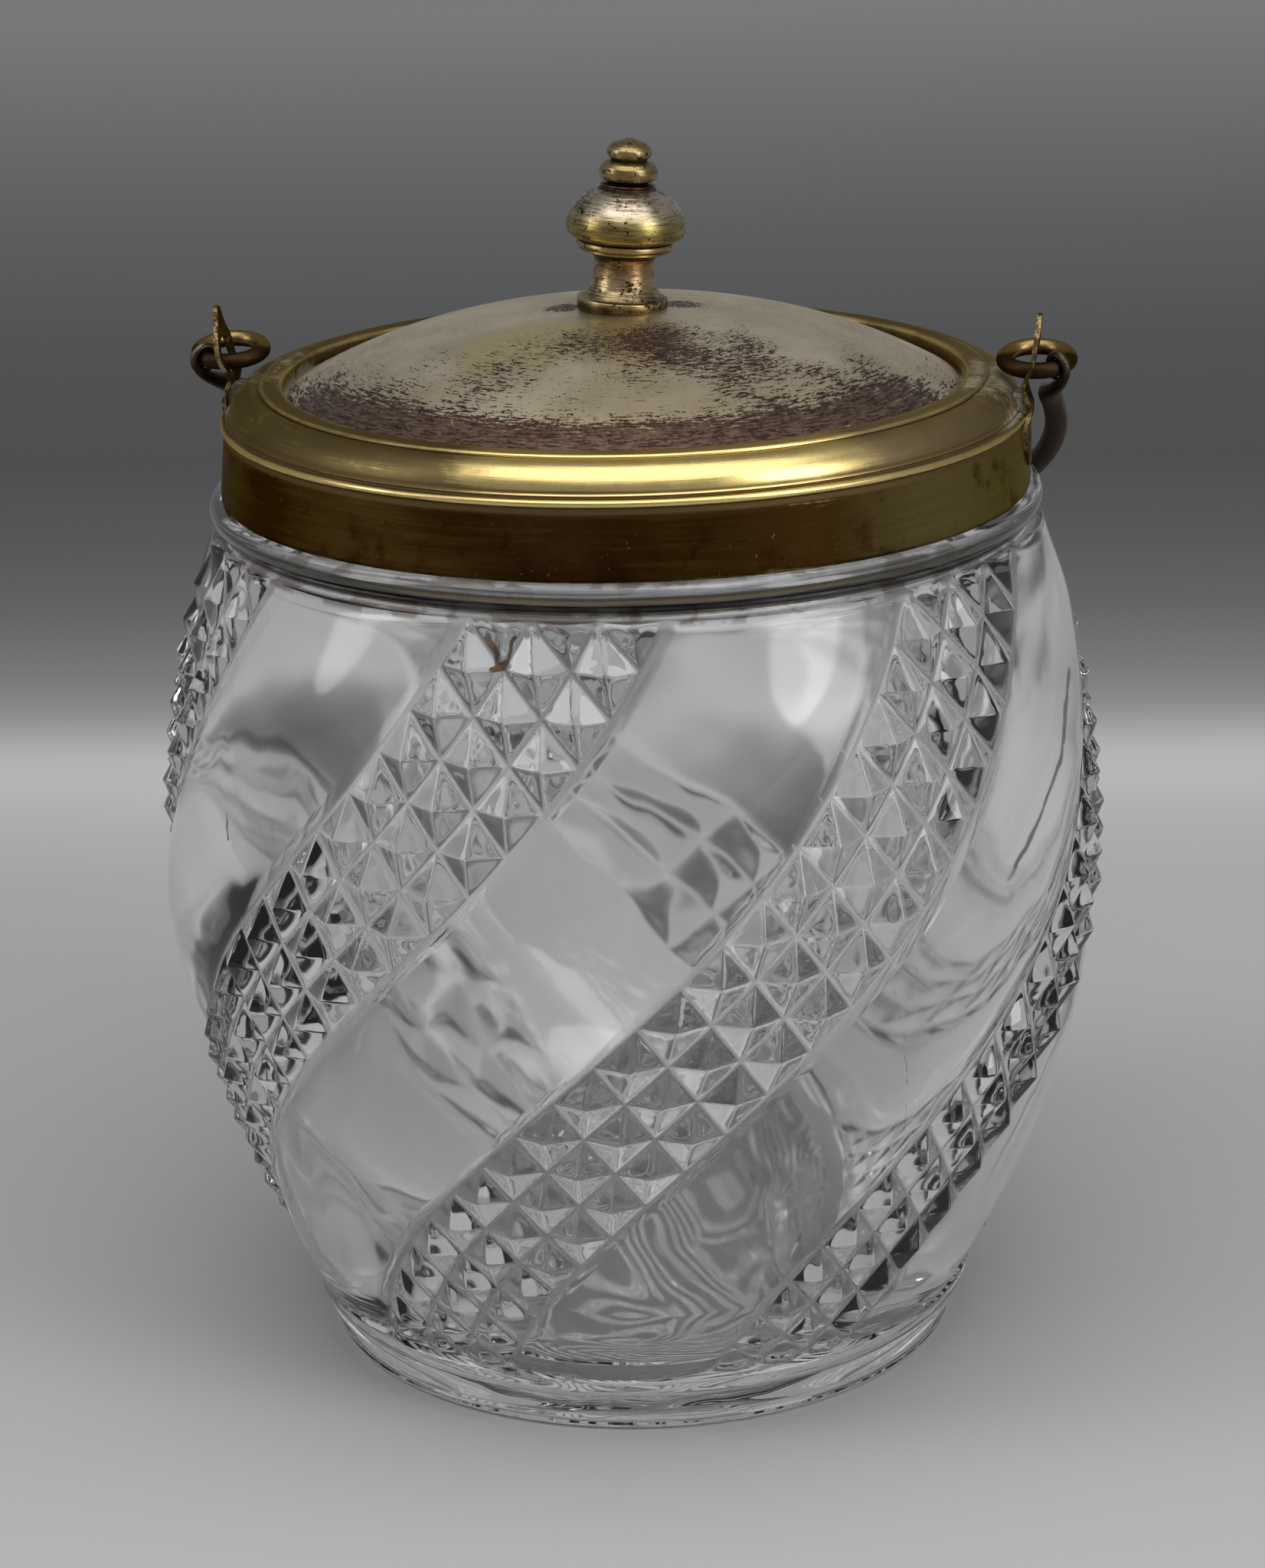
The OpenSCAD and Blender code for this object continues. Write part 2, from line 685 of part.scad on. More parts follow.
module lid_skirt() {
    color(brass_colour)
    difference() {
        translate([0, 0, seat_z - skirt_h])
            difference() {
                cylinder(r = skirt_r, h = skirt_h + dome_h);
                translate([0, 0, -1])
                    cylinder(r = skirt_r - lid_t, h = skirt_h + dome_h + 2);
            }
        above_dome();
    }
}

// ---------- finial ----------

// Finial pieces stand on the leaning stud; z is measured from the dome's top
module leaning(z = 0) {
    translate([0, 0, apex_z])
        rotate([0, finial_lean, 0])
            translate([0, 0, z])
                children();
}

bulb_z = pedestal_h;
knop_z = bulb_z + bulb_h;
cap_z = knop_z + knop_h;
stud_gap = 0.1;
stud_top = cap_z + cap_h / 2;

module stud_bore(z) {
    translate([0, 0, -z - 2])
        cylinder(r = stud_r + stud_gap, h = stud_top + 4);
}

module finial_pedestal() {
    flange_z = pedestal_h - 0.6;
    color(silver_colour)
    difference() {
        leaning()
            difference() {
                turned(concat(
                    [[0, -1.2], [pedestal_r, -1.2], [pedestal_r, 1.4],
                     [pedestal_r - 0.3, 1.8]],
                    [for (i = [1:8]) let (t = i / 8)
                        [pedestal_neck_r + (pedestal_r - 0.9 - pedestal_neck_r) * pow(1 - t, 2.2),
                         1.9 + (pedestal_h * 0.62 - 1.9) * t]],
                    [[pedestal_neck_r + 0.25, pedestal_h * 0.72],
                     [pedestal_neck_r + 0.9, pedestal_h * 0.81],
                     [pedestal_top_r - 0.7, flange_z - 0.3], [pedestal_top_r, flange_z],
                     [pedestal_top_r, pedestal_h], [0, pedestal_h]]));
                stud_bore(0);
            }
        turned(concat(dome_top, [[lid_r, apex_z - 30], [0, apex_z - 30]]));
    }
}

module finial_bulb() {
    wide_z = bulb_h * 0.28;
    top_r = knop_r - 0.4;
    color(silver_colour)
    leaning(bulb_z)
        difference() {
            turned(concat(
                [[0, 0], [pedestal_top_r, 0]],
                [for (i = [1:4]) let (a = 90 * i / 4)
                    [pedestal_top_r + (bulb_r - pedestal_top_r) * sin(a),
                     wide_z * (1 - cos(a))]],
                [for (i = [1:8]) let (a = 90 * i / 8)
                    [top_r + (bulb_r - top_r) * cos(a),
                     wide_z + (bulb_h - 0.6 - wide_z) * sin(a)]],
                [[top_r, bulb_h], [0, bulb_h]]));
            stud_bore(bulb_z);
        }
}

module finial_bead() {
    color(silver_colour)
    leaning(knop_z)
        difference() {
            turned(concat(
                [[0, 0], [knop_r - 0.8, 0]],
                [for (i = [1:8]) let (a = -90 + 180 * i / 9)
                    [knop_r - 1.2 + 1.2 * cos(a), knop_h / 2 * (1 + sin(a))]],
                [[knop_r - 1.2, knop_h], [0, knop_h]]));
            stud_bore(knop_z);
        }
}

module finial_cap() {
    color(silver_colour)
    leaning(cap_z)
        difference() {
            turned(concat(
                [[0, 0], [cap_r - 0.4, 0], [cap_r - 0.1, 0.5]],
                [for (i = [0:8]) let (a = 90 * i / 8)
                    [cap_r * cos(a), cap_h * 0.42 + cap_h * 0.58 * sin(a)]]));
            translate([0, 0, -1])
                cylinder(r = stud_r, h = 1 + cap_h / 2);
        }
}

// The stud's threaded tail stands upright and is a little thicker than its leaning shank
bend_r = 0.1;
module finial_stud() {
    tail = washer_t + nut_h + 1.5;
    color(brass_colour)
    union() {
        translate([0, 0, apex_z - lid_t - tail])
            cylinder(r = stud_r + bend_r, h = lid_t + tail);
        leaning(-lid_t / 2)
            cylinder(r = stud_r, h = stud_top + lid_t / 2);
    }
}

module finial_washer() {
    color(brass_colour)
    difference() {
        translate([0, 0, apex_z - lid_t - washer_t])
            difference() {
                cylinder(r = washer_r, h = washer_t);
                translate([0, 0, -1])
                    cylinder(r = stud_r + bend_r + stud_gap, h = washer_t + 2);
            }
        above_dome();
    }
}

module finial_nut() {
    color(brass_colour)
    translate([0, 0, apex_z - lid_t - washer_t - nut_h])
        difference() {
            cylinder(r = nut_af / 2 / cos(30), h = nut_h, $fn = 6);
            translate([0, 0, -1])
                cylinder(r = stud_r + bend_r, h = nut_h + 2);
        }
}

glass_jar();
plaster_bed();
collar();
left_ear();
right_ear();
left_solder();
right_solder();
left_link();
right_link();
bail_bar();
lid_dome();
lid_skirt();
finial_pedestal();
finial_bulb();
finial_bead();
finial_cap();
finial_stud();
finial_washer();
finial_nut();
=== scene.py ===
# %% [markdown]
# # A pressed-glass biscuit jar
# The real jar is a clear glass barrel with six bands of diamond points that wind round it,
# a spun brass collar cemented to its neck, a swing bail linked to two ears, and a loose
# silver-plated lid with a turned finial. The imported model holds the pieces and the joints.
# This lesson loads it as a fixed frame and dresses it: finer shapes where the eye looks,
# and a finish for every piece. Lengths are written in millimetres and made metres at the end.

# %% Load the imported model
from math import atan2, ceil, cos, hypot, pi, radians, sin, tau

import bmesh
import bpy
import numpy as np
from mathutils import Matrix, Vector, noise


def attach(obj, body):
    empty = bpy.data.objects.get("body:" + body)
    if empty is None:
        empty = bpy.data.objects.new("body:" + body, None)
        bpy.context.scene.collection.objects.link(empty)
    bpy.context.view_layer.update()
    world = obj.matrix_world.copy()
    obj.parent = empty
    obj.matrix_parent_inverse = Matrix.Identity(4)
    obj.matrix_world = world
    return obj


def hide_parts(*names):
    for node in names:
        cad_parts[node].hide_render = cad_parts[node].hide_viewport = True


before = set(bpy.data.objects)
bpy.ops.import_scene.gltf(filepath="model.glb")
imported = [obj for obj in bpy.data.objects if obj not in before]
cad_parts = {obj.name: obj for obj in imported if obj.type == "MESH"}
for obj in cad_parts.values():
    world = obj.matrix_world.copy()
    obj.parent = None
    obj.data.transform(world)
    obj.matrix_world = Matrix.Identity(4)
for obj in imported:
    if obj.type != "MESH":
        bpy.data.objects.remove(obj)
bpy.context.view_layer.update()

MM = 0.001


def placed(name, data):
    """Puts a camera, a lamp or a mesh into the scene under a name."""
    thing = bpy.data.objects.new(name, data)
    bpy.context.collection.objects.link(thing)
    return thing

# %% [markdown]
# ## Camera
# A camera can be placed by hand in the viewport, but then nobody can say why it stands there.
# Here it is set by two angles and a distance: a long lens looks slightly down on the jar, a
# little from its right, so the ears stand left and right and the bail hides behind the glass.

# %% Camera
LOOK_AT = Vector((0, 0, 83.4)) * MM
bearing, tilt, distance, roll = radians(9), radians(17.93), 607.9 * MM, -0.022
camera = placed("camera", bpy.data.cameras.new("camera"))
camera.data.sensor_width, camera.data.lens, camera.data.clip_start = 36, 92.99, 0.01
away = Vector((sin(bearing) * cos(tilt), -cos(bearing) * cos(tilt), sin(tilt)))
camera.location = LOOK_AT + distance * away
camera.rotation_mode = "QUATERNION"
camera.rotation_quaternion = (away.to_track_quat("Z", "Y").to_matrix()
                              @ Matrix.Rotation(roll, 3, "Z")).to_quaternion()
bpy.context.scene.camera = camera
print("camera at, in mm:", [round(part / MM) for part in camera.location])

# %% [markdown]
# ## Sums on sockets
# Both materials and Geometry Nodes are graphs of small nodes. A formula such as a radius is
# several Math nodes in a row, which is slow to wire by hand. Here a Field wraps one output
# socket, and adding or multiplying Fields adds the Math nodes, so a formula reads as one.

# %% Add a node and feed its sockets
def feed_socket(socket, feed):
    """Links a Field to a socket, or sets a plain value. A colour may leave out its alpha."""
    if isinstance(feed, Field):
        feed.tree.links.new(feed.socket, socket)
    elif feed is not None:
        short_colour = socket.type == "RGBA" and len(feed) == 3
        socket.default_value = (*feed, 1.0) if short_colour else feed


def add(tree, kind, *feeds, out=0, named=None, **settings):
    """Adds a node, feeds its inputs in order (None skips one) or by name, gives one output."""
    node = tree.nodes.new(kind)
    for name, value in settings.items():
        setattr(node, name, value)
    for socket, feed in [*zip(node.inputs, feeds),
                         *((node.inputs[name], feed) for name, feed in (named or {}).items())]:
        feed_socket(socket, feed)
    return Field(tree, node.outputs[out])

# %% Sums of Fields
class Field:
    """One output socket, for use in sums."""

    def __init__(self, tree, socket):
        self.tree, self.socket = tree, socket

    def sum(self, operation, *others, clamp=False):
        return add(self.tree, "ShaderNodeMath", self, *others,
                   operation=operation, use_clamp=clamp)

    def vector_sum(self, operation, *others, out=0):
        """As sum, for vectors. Output 1 is the number of a dot product or a distance."""
        return add(self.tree, "ShaderNodeVectorMath", self, *others, out=out,
                   operation=operation)

    def other(self, name):
        """Another output of the same node."""
        return Field(self.tree, self.socket.node.outputs[name])

    __add__ = lambda a, b: a.sum("ADD", b)
    __sub__ = lambda a, b: a.sum("SUBTRACT", b)
    __mul__ = lambda a, b: a.sum("MULTIPLY", b)
    __truediv__ = lambda a, b: a.sum("DIVIDE", b)
    __pow__ = lambda a, b: a.sum("POWER", b)
    __radd__, __rmul__ = __add__, __mul__
    __rsub__ = lambda a, b: (a * -1) + b
    __gt__ = lambda a, b: a.sum("GREATER_THAN", b)
    __lt__ = lambda a, b: a.sum("LESS_THAN", b)

    def parts(self):
        """The x, y and z of a vector."""
        x = add(self.tree, "ShaderNodeSeparateXYZ", self)
        return x, x.other("Y"), x.other("Z")

    def ramp(self, low, high, to_low=0.0, to_high=1.0):
        """Eases a value from one range to another, and stays level beyond its ends."""
        return add(self.tree, "ShaderNodeMapRange", self, low, high, to_low, to_high,
                   interpolation_type="SMOOTHSTEP")

# %% Vectors and groups
def vector(tree, *parts):
    """A vector from three numbers or Fields."""
    return add(tree, "ShaderNodeCombineXYZ", *parts)


def from_axis(x, y):
    """The distance from the jar's axis."""
    return (x * x + y * y) ** 0.5


def group(name, kind, inputs, outputs):
    """A node group with named sockets. Gives the tree, its inputs and a way to set outputs."""
    tree = bpy.data.node_groups.new(name, kind)
    for side, rows in (("INPUT", inputs), ("OUTPUT", outputs)):
        for label, (type_name, *value) in rows.items():
            socket = tree.interface.new_socket(label, in_out=side,
                                               socket_type="NodeSocket" + type_name)
            if value:
                socket.default_value = value[0]
    start, end = tree.nodes.new("NodeGroupInput"), tree.nodes.new("NodeGroupOutput")
    feeds = {label: Field(tree, start.outputs[label]) for label in inputs}

    def give(label, field):
        tree.links.new(field.socket, end.inputs[label])

    print(f"{name} takes {', '.join(inputs)} and gives {', '.join(outputs)}")
    return tree, feeds, give

# %% [markdown]
# ## Floor, backdrop and light
# The jar stands on pale grey paper. Clear glass has almost no colour of its own: what it
# shows is its surroundings, bent. So the paper's tones matter: pale in front of the jar and
# beside it, brightest along a line behind it, then falling to a dark grey and rising again.
# They could be made with more lamps, but a lamp on the floor also lights the jar. So they are
# painted into the paper's colour as light and shade, by the distance behind the jar: the bright
# line is painted light and the dark grey is painted shade. Far to its left and right the paper
# is painted pale, as if lit by white cards standing there, and that brightens the glass's edges.

# %% Helpers for materials
def plain_material(name):
    """A material with one Principled BSDF. Gives the material, its tree and the shader."""
    material = bpy.data.materials.new(name)
    material.use_nodes = True
    tree = material.node_tree
    return material, tree, tree.nodes["Principled BSDF"]


def paint(shader, feeds):
    """Feeds a shader's sockets, by name."""
    for name, feed in feeds.items():
        feed_socket(shader.inputs[name], feed)


def object_place(tree):
    """Where a point lies on the piece, which moves with the piece."""
    return add(tree, "ShaderNodeTexCoord").other("Object")


def colour_ramp(field, stops):
    """A Color Ramp with stops of (place, red, green, blue)."""
    node = field.tree.nodes.new("ShaderNodeValToRGB")
    elements = node.color_ramp.elements
    while len(elements) < len(stops):
        elements.new(1.0)
    for element, (place, *colour) in zip(elements, stops):
        element.position = place
        element.color = (*colour, 1)
    field.tree.links.new(field.socket, node.inputs[0])
    return Field(field.tree, node.outputs[0])


def mix(share, low, high):
    """A colour between two others, which are sockets 6 and 7 of a Mix node."""
    return add(share.tree, "ShaderNodeMix", share, *[None] * 5, low, high,
               out=2, data_type="RGBA")

# %% Paper floor
PAPER_REACH, PAPER_NEAR, PAPER_DROP, PAPER_CORNERS = 2400, -200, 0.05, 96
# The paper's painted light and shade: its tone by its distance behind the jar, in mm
PAPER_LIGHT_AND_SHADE = [(-200, 0.46), (-80, 0.435), (-50, 0.418), (0, 0.395), (60, 0.40), (130, 0.418),
               (195, 0.427), (233, 0.475), (262, 0.545), (276, 0.532), (288, 0.478), (302, 0.378),
               (319, 0.285), (343, 0.226), (376, 0.18), (404, 0.147), (467, 0.117), (560, 0.097),
               (722, 0.12), (935, 0.188), (1115, 0.265), (1340, 0.37), (1570, 0.485), (2400, 0.62)]
# The paper's bright line behind the jar is painted light
EDGE_TURN = radians(6.6)  # the bright line runs a little askew
CARD_LIGHT_TONE, UNDER_JAR_LIGHT = (0.5, 0.505, 0.51), (0.6, 0.605, 0.61)
paper, tree, shader = plain_material("grey_paper")
x, y, _ = (part / MM for part in object_place(tree).parts())
behind = y * cos(EDGE_TURN) - x * sin(EDGE_TURN)
aside = (x * cos(bearing) + y * sin(bearing)).sum("ABSOLUTE")
tone = colour_ramp((behind - PAPER_NEAR) / (PAPER_REACH - PAPER_NEAR),
                   [((r - PAPER_NEAR) / (PAPER_REACH - PAPER_NEAR), v * 0.985, v * 0.99, v)
                    for r, v in PAPER_LIGHT_AND_SHADE])  # a little more blue than red
# painted light: far to the jar's left and right the paper is pale, as white cards would light it
cards = (aside - behind * 0.16).ramp(120, 220) * behind.ramp(-120, 240)
tone = mix(cards, tone, CARD_LIGHT_TONE)
# painted light: the paper under the foot is paler, where light through the glass would fall on it
tone = mix(from_axis(x, y).ramp(44, 49, 1.0, 0.0), tone, UNDER_JAR_LIGHT)
paint(shader, {"Base Color": tone, "Roughness": 0.85, "Specular IOR Level": 0.2})

mesh = bpy.data.meshes.new("paper_floor")
edge = [(PAPER_REACH * MM * cos(a), PAPER_REACH * MM * sin(a), -PAPER_DROP * MM)
        for a in np.linspace(0, tau, PAPER_CORNERS, endpoint=False)]
mesh.from_pydata(edge, [], [tuple(range(PAPER_CORNERS))])
mesh.materials.append(paper)
floor = placed("paper_floor", mesh)
print("paper tones:", len(PAPER_LIGHT_AND_SHADE))

# %% [markdown]
# Three large soft lamps light the jar: a broad one above and a little in front gives the
# metal its long highlight, and a slim one at each side draws the edges. A point lamp would
# leave small hard spots on the metal. The sky is an even grey, and fills the shadows. Light
# crosses many glass walls, so it is given enough bounces to get through them all.

# %% Sky and lamps
SKY_COLOUR, GLASS_BOUNCES, ALL_BOUNCES = (0.27, 0.275, 0.285), 24, 28
world = bpy.data.worlds.new("studio")
world.use_nodes = True
bpy.context.scene.world = world
paint(world.node_tree.nodes["Background"], {"Color": SKY_COLOUR, "Strength": 1.0})

# Each lamp's place and size in metres, and its power in watts
LAMPS = {"top_softbox": ((0.08, -0.35, 1.15), (1.5, 1.4), 10.5),
         "left_softbox": ((-0.95, -0.45, 0.6), (0.4, 0.9), 3.0),
         "right_softbox": ((0.9, -0.55, 0.55), (0.5, 0.9), 5.0)}
for name, (place, (wide, high), power) in LAMPS.items():
    lamp = placed(name, bpy.data.lights.new(name, "AREA"))
    lamp.data.shape, lamp.data.size, lamp.data.size_y = "ELLIPSE", wide, high
    lamp.data.energy = power
    lamp.location = place
    lamp.rotation_euler = (Vector(place) - LOOK_AT).to_track_quat("Z", "Y").to_euler()
bpy.context.scene.view_settings.view_transform = "Standard"
bpy.context.scene.cycles.transmission_bounces = GLASS_BOUNCES
bpy.context.scene.cycles.max_bounces = ALL_BOUNCES
print("lamps:", sorted(LAMPS))

# %% [markdown]
# ## Glass
# Pressed soda glass is almost colourless. Its surface is not quite flat: the mould's skin
# and the fire polish leave soft ripples, the points of the diamonds are torn a little, and
# the glass inside the base is laid in folds, which show as contour lines. These are far finer
# than the mesh, so they are one bump over the real shape. The mesh carries two numbers for
# the material: "cut" is 1 on the diamonds, and "rise" is how far a point stands out from the
# bottom of the pattern's grooves. The grooves are matt with old dirt, and so is the inner wall.

# %% Glass surface
def grain(place, scale, detail=2.0, rough=0.5, w=None, warp=0.0):
    """Noise from 0 to 1; a fourth coordinate w lets a pattern close round a piece."""
    named = {"Vector": place, "Scale": scale, "Detail": detail, "Roughness": rough,
             "Distortion": warp}
    if w is None:
        return add(place.tree, "ShaderNodeTexNoise", named=named)
    return add(place.tree, "ShaderNodeTexNoise", named={**named, "W": w}, noise_dimensions="4D")


def marked(tree, name):
    """A value that the mesh carries at its points."""
    return add(tree, "ShaderNodeAttribute", attribute_name=name).other("Fac")


RIPPLE_DEPTH, TEAR_SHARE, FOLD_SHARE, FOLD_COUNT = 0.2, 0.55, 3.4, 150.0
glass, tree, shader = plain_material("clear_glass")
place = object_place(tree)
x, y, z = place.parts()
cut, rise = marked(tree, "cut"), marked(tree, "rise")
outside = rise > -1.0
ripple = grain(place, 75.0, 1.0, 0.35)
tears = grain(place, 200.0, 0.5, warp=1.4) * cut
base_inside = (from_axis(x, y) < 43 * MM) * (z > 8 * MM) * z.ramp(14 * MM, 26 * MM, 1.0, 0.0)
folds = (grain(place, 34.0, 1.0, 0.3, warp=0.6) * FOLD_COUNT).sum("SINE") * base_inside
bump = add(tree, "ShaderNodeBump", named={
    "Height": ripple + tears * TEAR_SHARE + folds * FOLD_SHARE, "Distance": RIPPLE_DEPTH * MM})
haze = (rise.ramp(-2.0, -3.0, 0.0, 0.06) + rise.ramp(0.1, 0.24, 0.34, 0.0) * outside
        + z.ramp(98 * MM, 119 * MM, 0.0, 0.13) * outside * (cut < 0.5))
paint(shader, {"Normal": bump, "Roughness": haze, "IOR": 1.51, "Transmission Weight": 1.0})
print("glass ripples:", RIPPLE_DEPTH, "mm deep, with folds inside the base")

# %% [markdown]
# Use has left its marks. Brown cement dust sits in the groove under the collar, rust has run
# into two grooves of a diamond, and the glass has a crack at the right, a shorter one at the
# left and a scratch. Each line is drawn on the barrel as if its skin were unrolled: a mask
# measures how far a point is from the line, and noise moves the point first, so it wavers.

# %% Marks on the glass
ROUND_R, WOBBLE_SCALE = 62, 260.0  # the radius at which the skin is unrolled, and the noise
CLEAR, CEMENT_BROWN = (0.969, 0.969, 0.964), (0.13, 0.06, 0.022)
RUST_BROWN, CRACK_GREY = (0.09, 0.032, 0.01), (0.05, 0.05, 0.055)
# Start and end as (mm round, height), half-width in mm, how far it wavers, and strength
RUST_LINES = [((-10.2, 124.0), (-7.9, 119.2), 0.5, 3.0, 1.0),
              ((-5.9, 123.4), (-7.9, 119.2), 0.45, 3.0, 1.0),
              ((-8.6, 118.8), (-7.2, 119.6), 0.6, 3.0, 1.0)]
CRACK_LINES = [((96.6, 103.2), (86.6, 92.0), 0.55, 1.2, 1.0),
               ((86.6, 92.0), (71.0, 79.0), 0.45, 1.2, 1.0),
               ((-50.1, 93.2), (-49.7, 88.3), 0.35, 3.0, 1.0),
               ((43.0, 72.6), (46.8, 48.7), 0.12, 1.2, 0.6)]


def drawn(place, lines):
    """One mask for several wavering lines."""
    wobble = grain(place, WOBBLE_SCALE).other("Color").vector_sum("SUBTRACT", (0.5, 0.5, 0.5))
    mask = 0.0
    for start, end, half_width, waver, strength in lines:
        start, end = (Vector((*p, 0)) * MM for p in (start, end))
        run = end - start
        moved = wobble.vector_sum("MULTIPLY_ADD", (waver * MM,) * 3,
                                  place.vector_sum("SUBTRACT", start))
        share = moved.vector_sum("DOT_PRODUCT", run / run.length_squared, out=1)
        nearest = add(place.tree, "ShaderNodeVectorMath", run, operation="SCALE",
                      named={"Scale": share.sum("ADD", 0.0, clamp=True)})
        gap = moved.vector_sum("DISTANCE", nearest, out=1)
        mask = gap.ramp(half_width * 0.5 * MM, half_width * MM, 1.0, 0.0) * strength + mask
    return mask * outside


soil = grain(place, 160.0, 5.0)
rim_soil = (z.ramp(124.3 * MM, 125.0 * MM) * z.ramp(126.0 * MM, 127.4 * MM, 1.0, 0.25)
            * (z < 131.5 * MM) * soil.ramp(0.49, 0.56))
unrolled = vector(tree, x.sum("ARCTAN2", y * -1) * ROUND_R * MM, z, 0.0)
tint = mix(rim_soil * 0.8, CLEAR, CEMENT_BROWN)
tint = mix(drawn(unrolled, RUST_LINES) * soil.ramp(0.35, 0.5), tint, RUST_BROWN)
tint = mix(drawn(unrolled, CRACK_LINES), tint, CRACK_GREY)
paint(shader, {"Base Color": tint})
print("lines on the glass:", len(RUST_LINES) + len(CRACK_LINES))

# %% [markdown]
# ## Glass barrel
# A plunger pressed the hot glass into a mould whose wall was cut with the pattern, and the
# pattern follows a rule: 42 lines run down the barrel and turn as they go, and 20 rows cross
# them. Three columns of diamonds fill one band, and a smooth swirl as wide as four columns
# divides it from the next. Modelling hundreds of diamonds by hand is hopeless, and an array
# round an axis can't follow the twist. Geometry Nodes can: the tree first makes flat cells on
# a sheet whose axes are column, row and height, and then one formula wraps the sheet round
# the barrel. The number of bands and both heights stay inputs of the tree.

# %% The law of the barrel
BELLY_R, WAIST_R, SHOULDER_R = 68.0, 49.1, 59.8
BELLY_Z, LOW_Z, TOP_Z = 77.0, 9.7, 125.3
BEND, TWIST, TWIST_EASE, ROW_EASE, FIRST_TURN = 1.8, 88.0, 0.29, 0.1, -12.2
BANDS, BAND_COLS, SWIRL_COLS, ROWS = 6, 3, 4, 20
COLS = BANDS * (BAND_COLS + SWIRL_COLS)
DIAMOND_H, SWIRL_H = 2.6, 2.5
print("columns round the barrel:", COLS, "and rows down it:", ROWS)


def barrel_law():
    """A node group: a point (column, row, height) of the sheet to its place on the barrel."""
    tree, feed, give = group("Wrap on barrel", "GeometryNodeTree",
                             {"Point": ("Vector",)}, {"Position": ("Vector",)})
    column, row, rise = feed["Point"].parts()
    share = row / ROWS
    height = TOP_Z - (TOP_Z - LOW_Z) * (share + ROW_EASE * share * (1 - share))
    turn = TWIST * ((1 - TWIST_EASE) * share
                    + TWIST_EASE / 2 * (1 - (share * pi).sum("COSINE")))
    angle = (FIRST_TURN + 360 / COLS * column - turn) * radians(1)
    below = ((BELLY_Z - height) / (BELLY_Z - LOW_Z)).sum("MAXIMUM", 0.0) ** BEND
    above = ((height - BELLY_Z) / (TOP_Z - BELLY_Z)).sum("MAXIMUM", 0.0) ** BEND
    valley = BELLY_R - (BELLY_R - WAIST_R) * below - (BELLY_R - SHOULDER_R) * above
    radius = valley * (1 + rise / BELLY_R)
    give("Position", vector(tree, radius * angle.sum("SINE") * MM,
                            radius * angle.sum("COSINE") * -MM, height * MM))
    return tree

# %% Cells, moves and welds in a tree
SLIP, END_SLIP = 0.1, 0.01  # in rows: more than rounding, less than a cell
CELL_WELD, SKIN_WELD = 0.001, 0.002 * MM


def grid(tree, columns, rows):
    """A flat grid with one cell to a unit."""
    return add(tree, "GeometryNodeMeshGrid", float(columns), float(rows), columns + 1, rows + 1)


def move(mesh, *parts):
    """Sets every point's x, y and z."""
    return add(mesh.tree, "GeometryNodeSetPosition", mesh, None, vector(mesh.tree, *parts))


def weld(mesh, gap):
    """Joins the points that lie closer than the gap."""
    return add(mesh.tree, "GeometryNodeMergeByDistance", mesh, None, gap)


def clamp_rows(mesh, point, rise):
    """Keeps the rows within the pattern and sets the rise."""
    x, y, _ = point.parts()
    return move(mesh, x, y.sum("MINIMUM", float(ROWS)).sum("MAXIMUM", 0.0), rise)

# %% [markdown]
# A diamond is one cell of a slanted grid, drawn up to a point: the grid's faces are extruded
# one by one and each new top is shrunk to nothing. The cells beyond the first and last row are
# deleted, and those cut by them are lower. A swirl is a strip of plain cells with a rounded
# crown, and one more row at each end, folded down, closes it with a ledge.

# %% One band of diamonds, one swirl
END_DROP, LEDGE_H, LEDGE_ROWS = 0.3, 0.5, 2.0


def diamond_band(point, height, detail):
    """Three columns of diamonds on a slant, marked as cut."""
    tree, (x, y, z), cells = point.tree, point.parts(), ROWS + BAND_COLS
    column = x + BAND_COLS / 2
    mesh = move(grid(tree, BAND_COLS, cells), column, column + (y + (cells / 2 - BAND_COLS)), 0.0)
    beyond = (y < -SLIP) + (y > ROWS + SLIP)
    mesh = add(tree, "GeometryNodeDeleteGeometry", mesh, beyond, domain="FACE")
    raised = add(tree, "GeometryNodeExtrudeMesh", mesh, None, (0, 0, 1), 1.0, True)
    mesh = weld(add(tree, "GeometryNodeScaleElements", raised, raised.other("Top"), 0.0),
                CELL_WELD)
    at_end = (y < END_SLIP) + (y > ROWS - END_SLIP)
    mesh = weld(clamp_rows(mesh, point, z * (1 - at_end * END_DROP)), CELL_WELD)
    mesh = move(add(tree, "GeometryNodeSubdivideMesh", mesh, detail), x, y, z * height)
    return add(tree, "GeometryNodeStoreNamedAttribute", data_type="FLOAT",
               named={"Geometry": mesh, "Name": "cut", "Value": 1.0})


def smooth_swirl(point, height, detail):
    """A crowned strip beside the band, closed by a ledge at each end."""
    tree, (x, y, z), half = point.tree, point.parts(), SWIRL_COLS / 2
    inside = (y > -SLIP - ROWS / 2) * (y < SLIP + ROWS / 2)
    mesh = move(grid(tree, SWIRL_COLS, ROWS + 2), x + (BAND_COLS + half), y + ROWS / 2, inside)
    mesh = add(tree, "GeometryNodeSubdivideMesh", clamp_rows(mesh, point, z), detail)
    across = (x - (BAND_COLS + half)) / half
    crown = (1 - across * across) * (LEDGE_H + (1 - LEDGE_H) * y.ramp(0.0, LEDGE_ROWS))
    return move(mesh, x, y, z * crown * height)

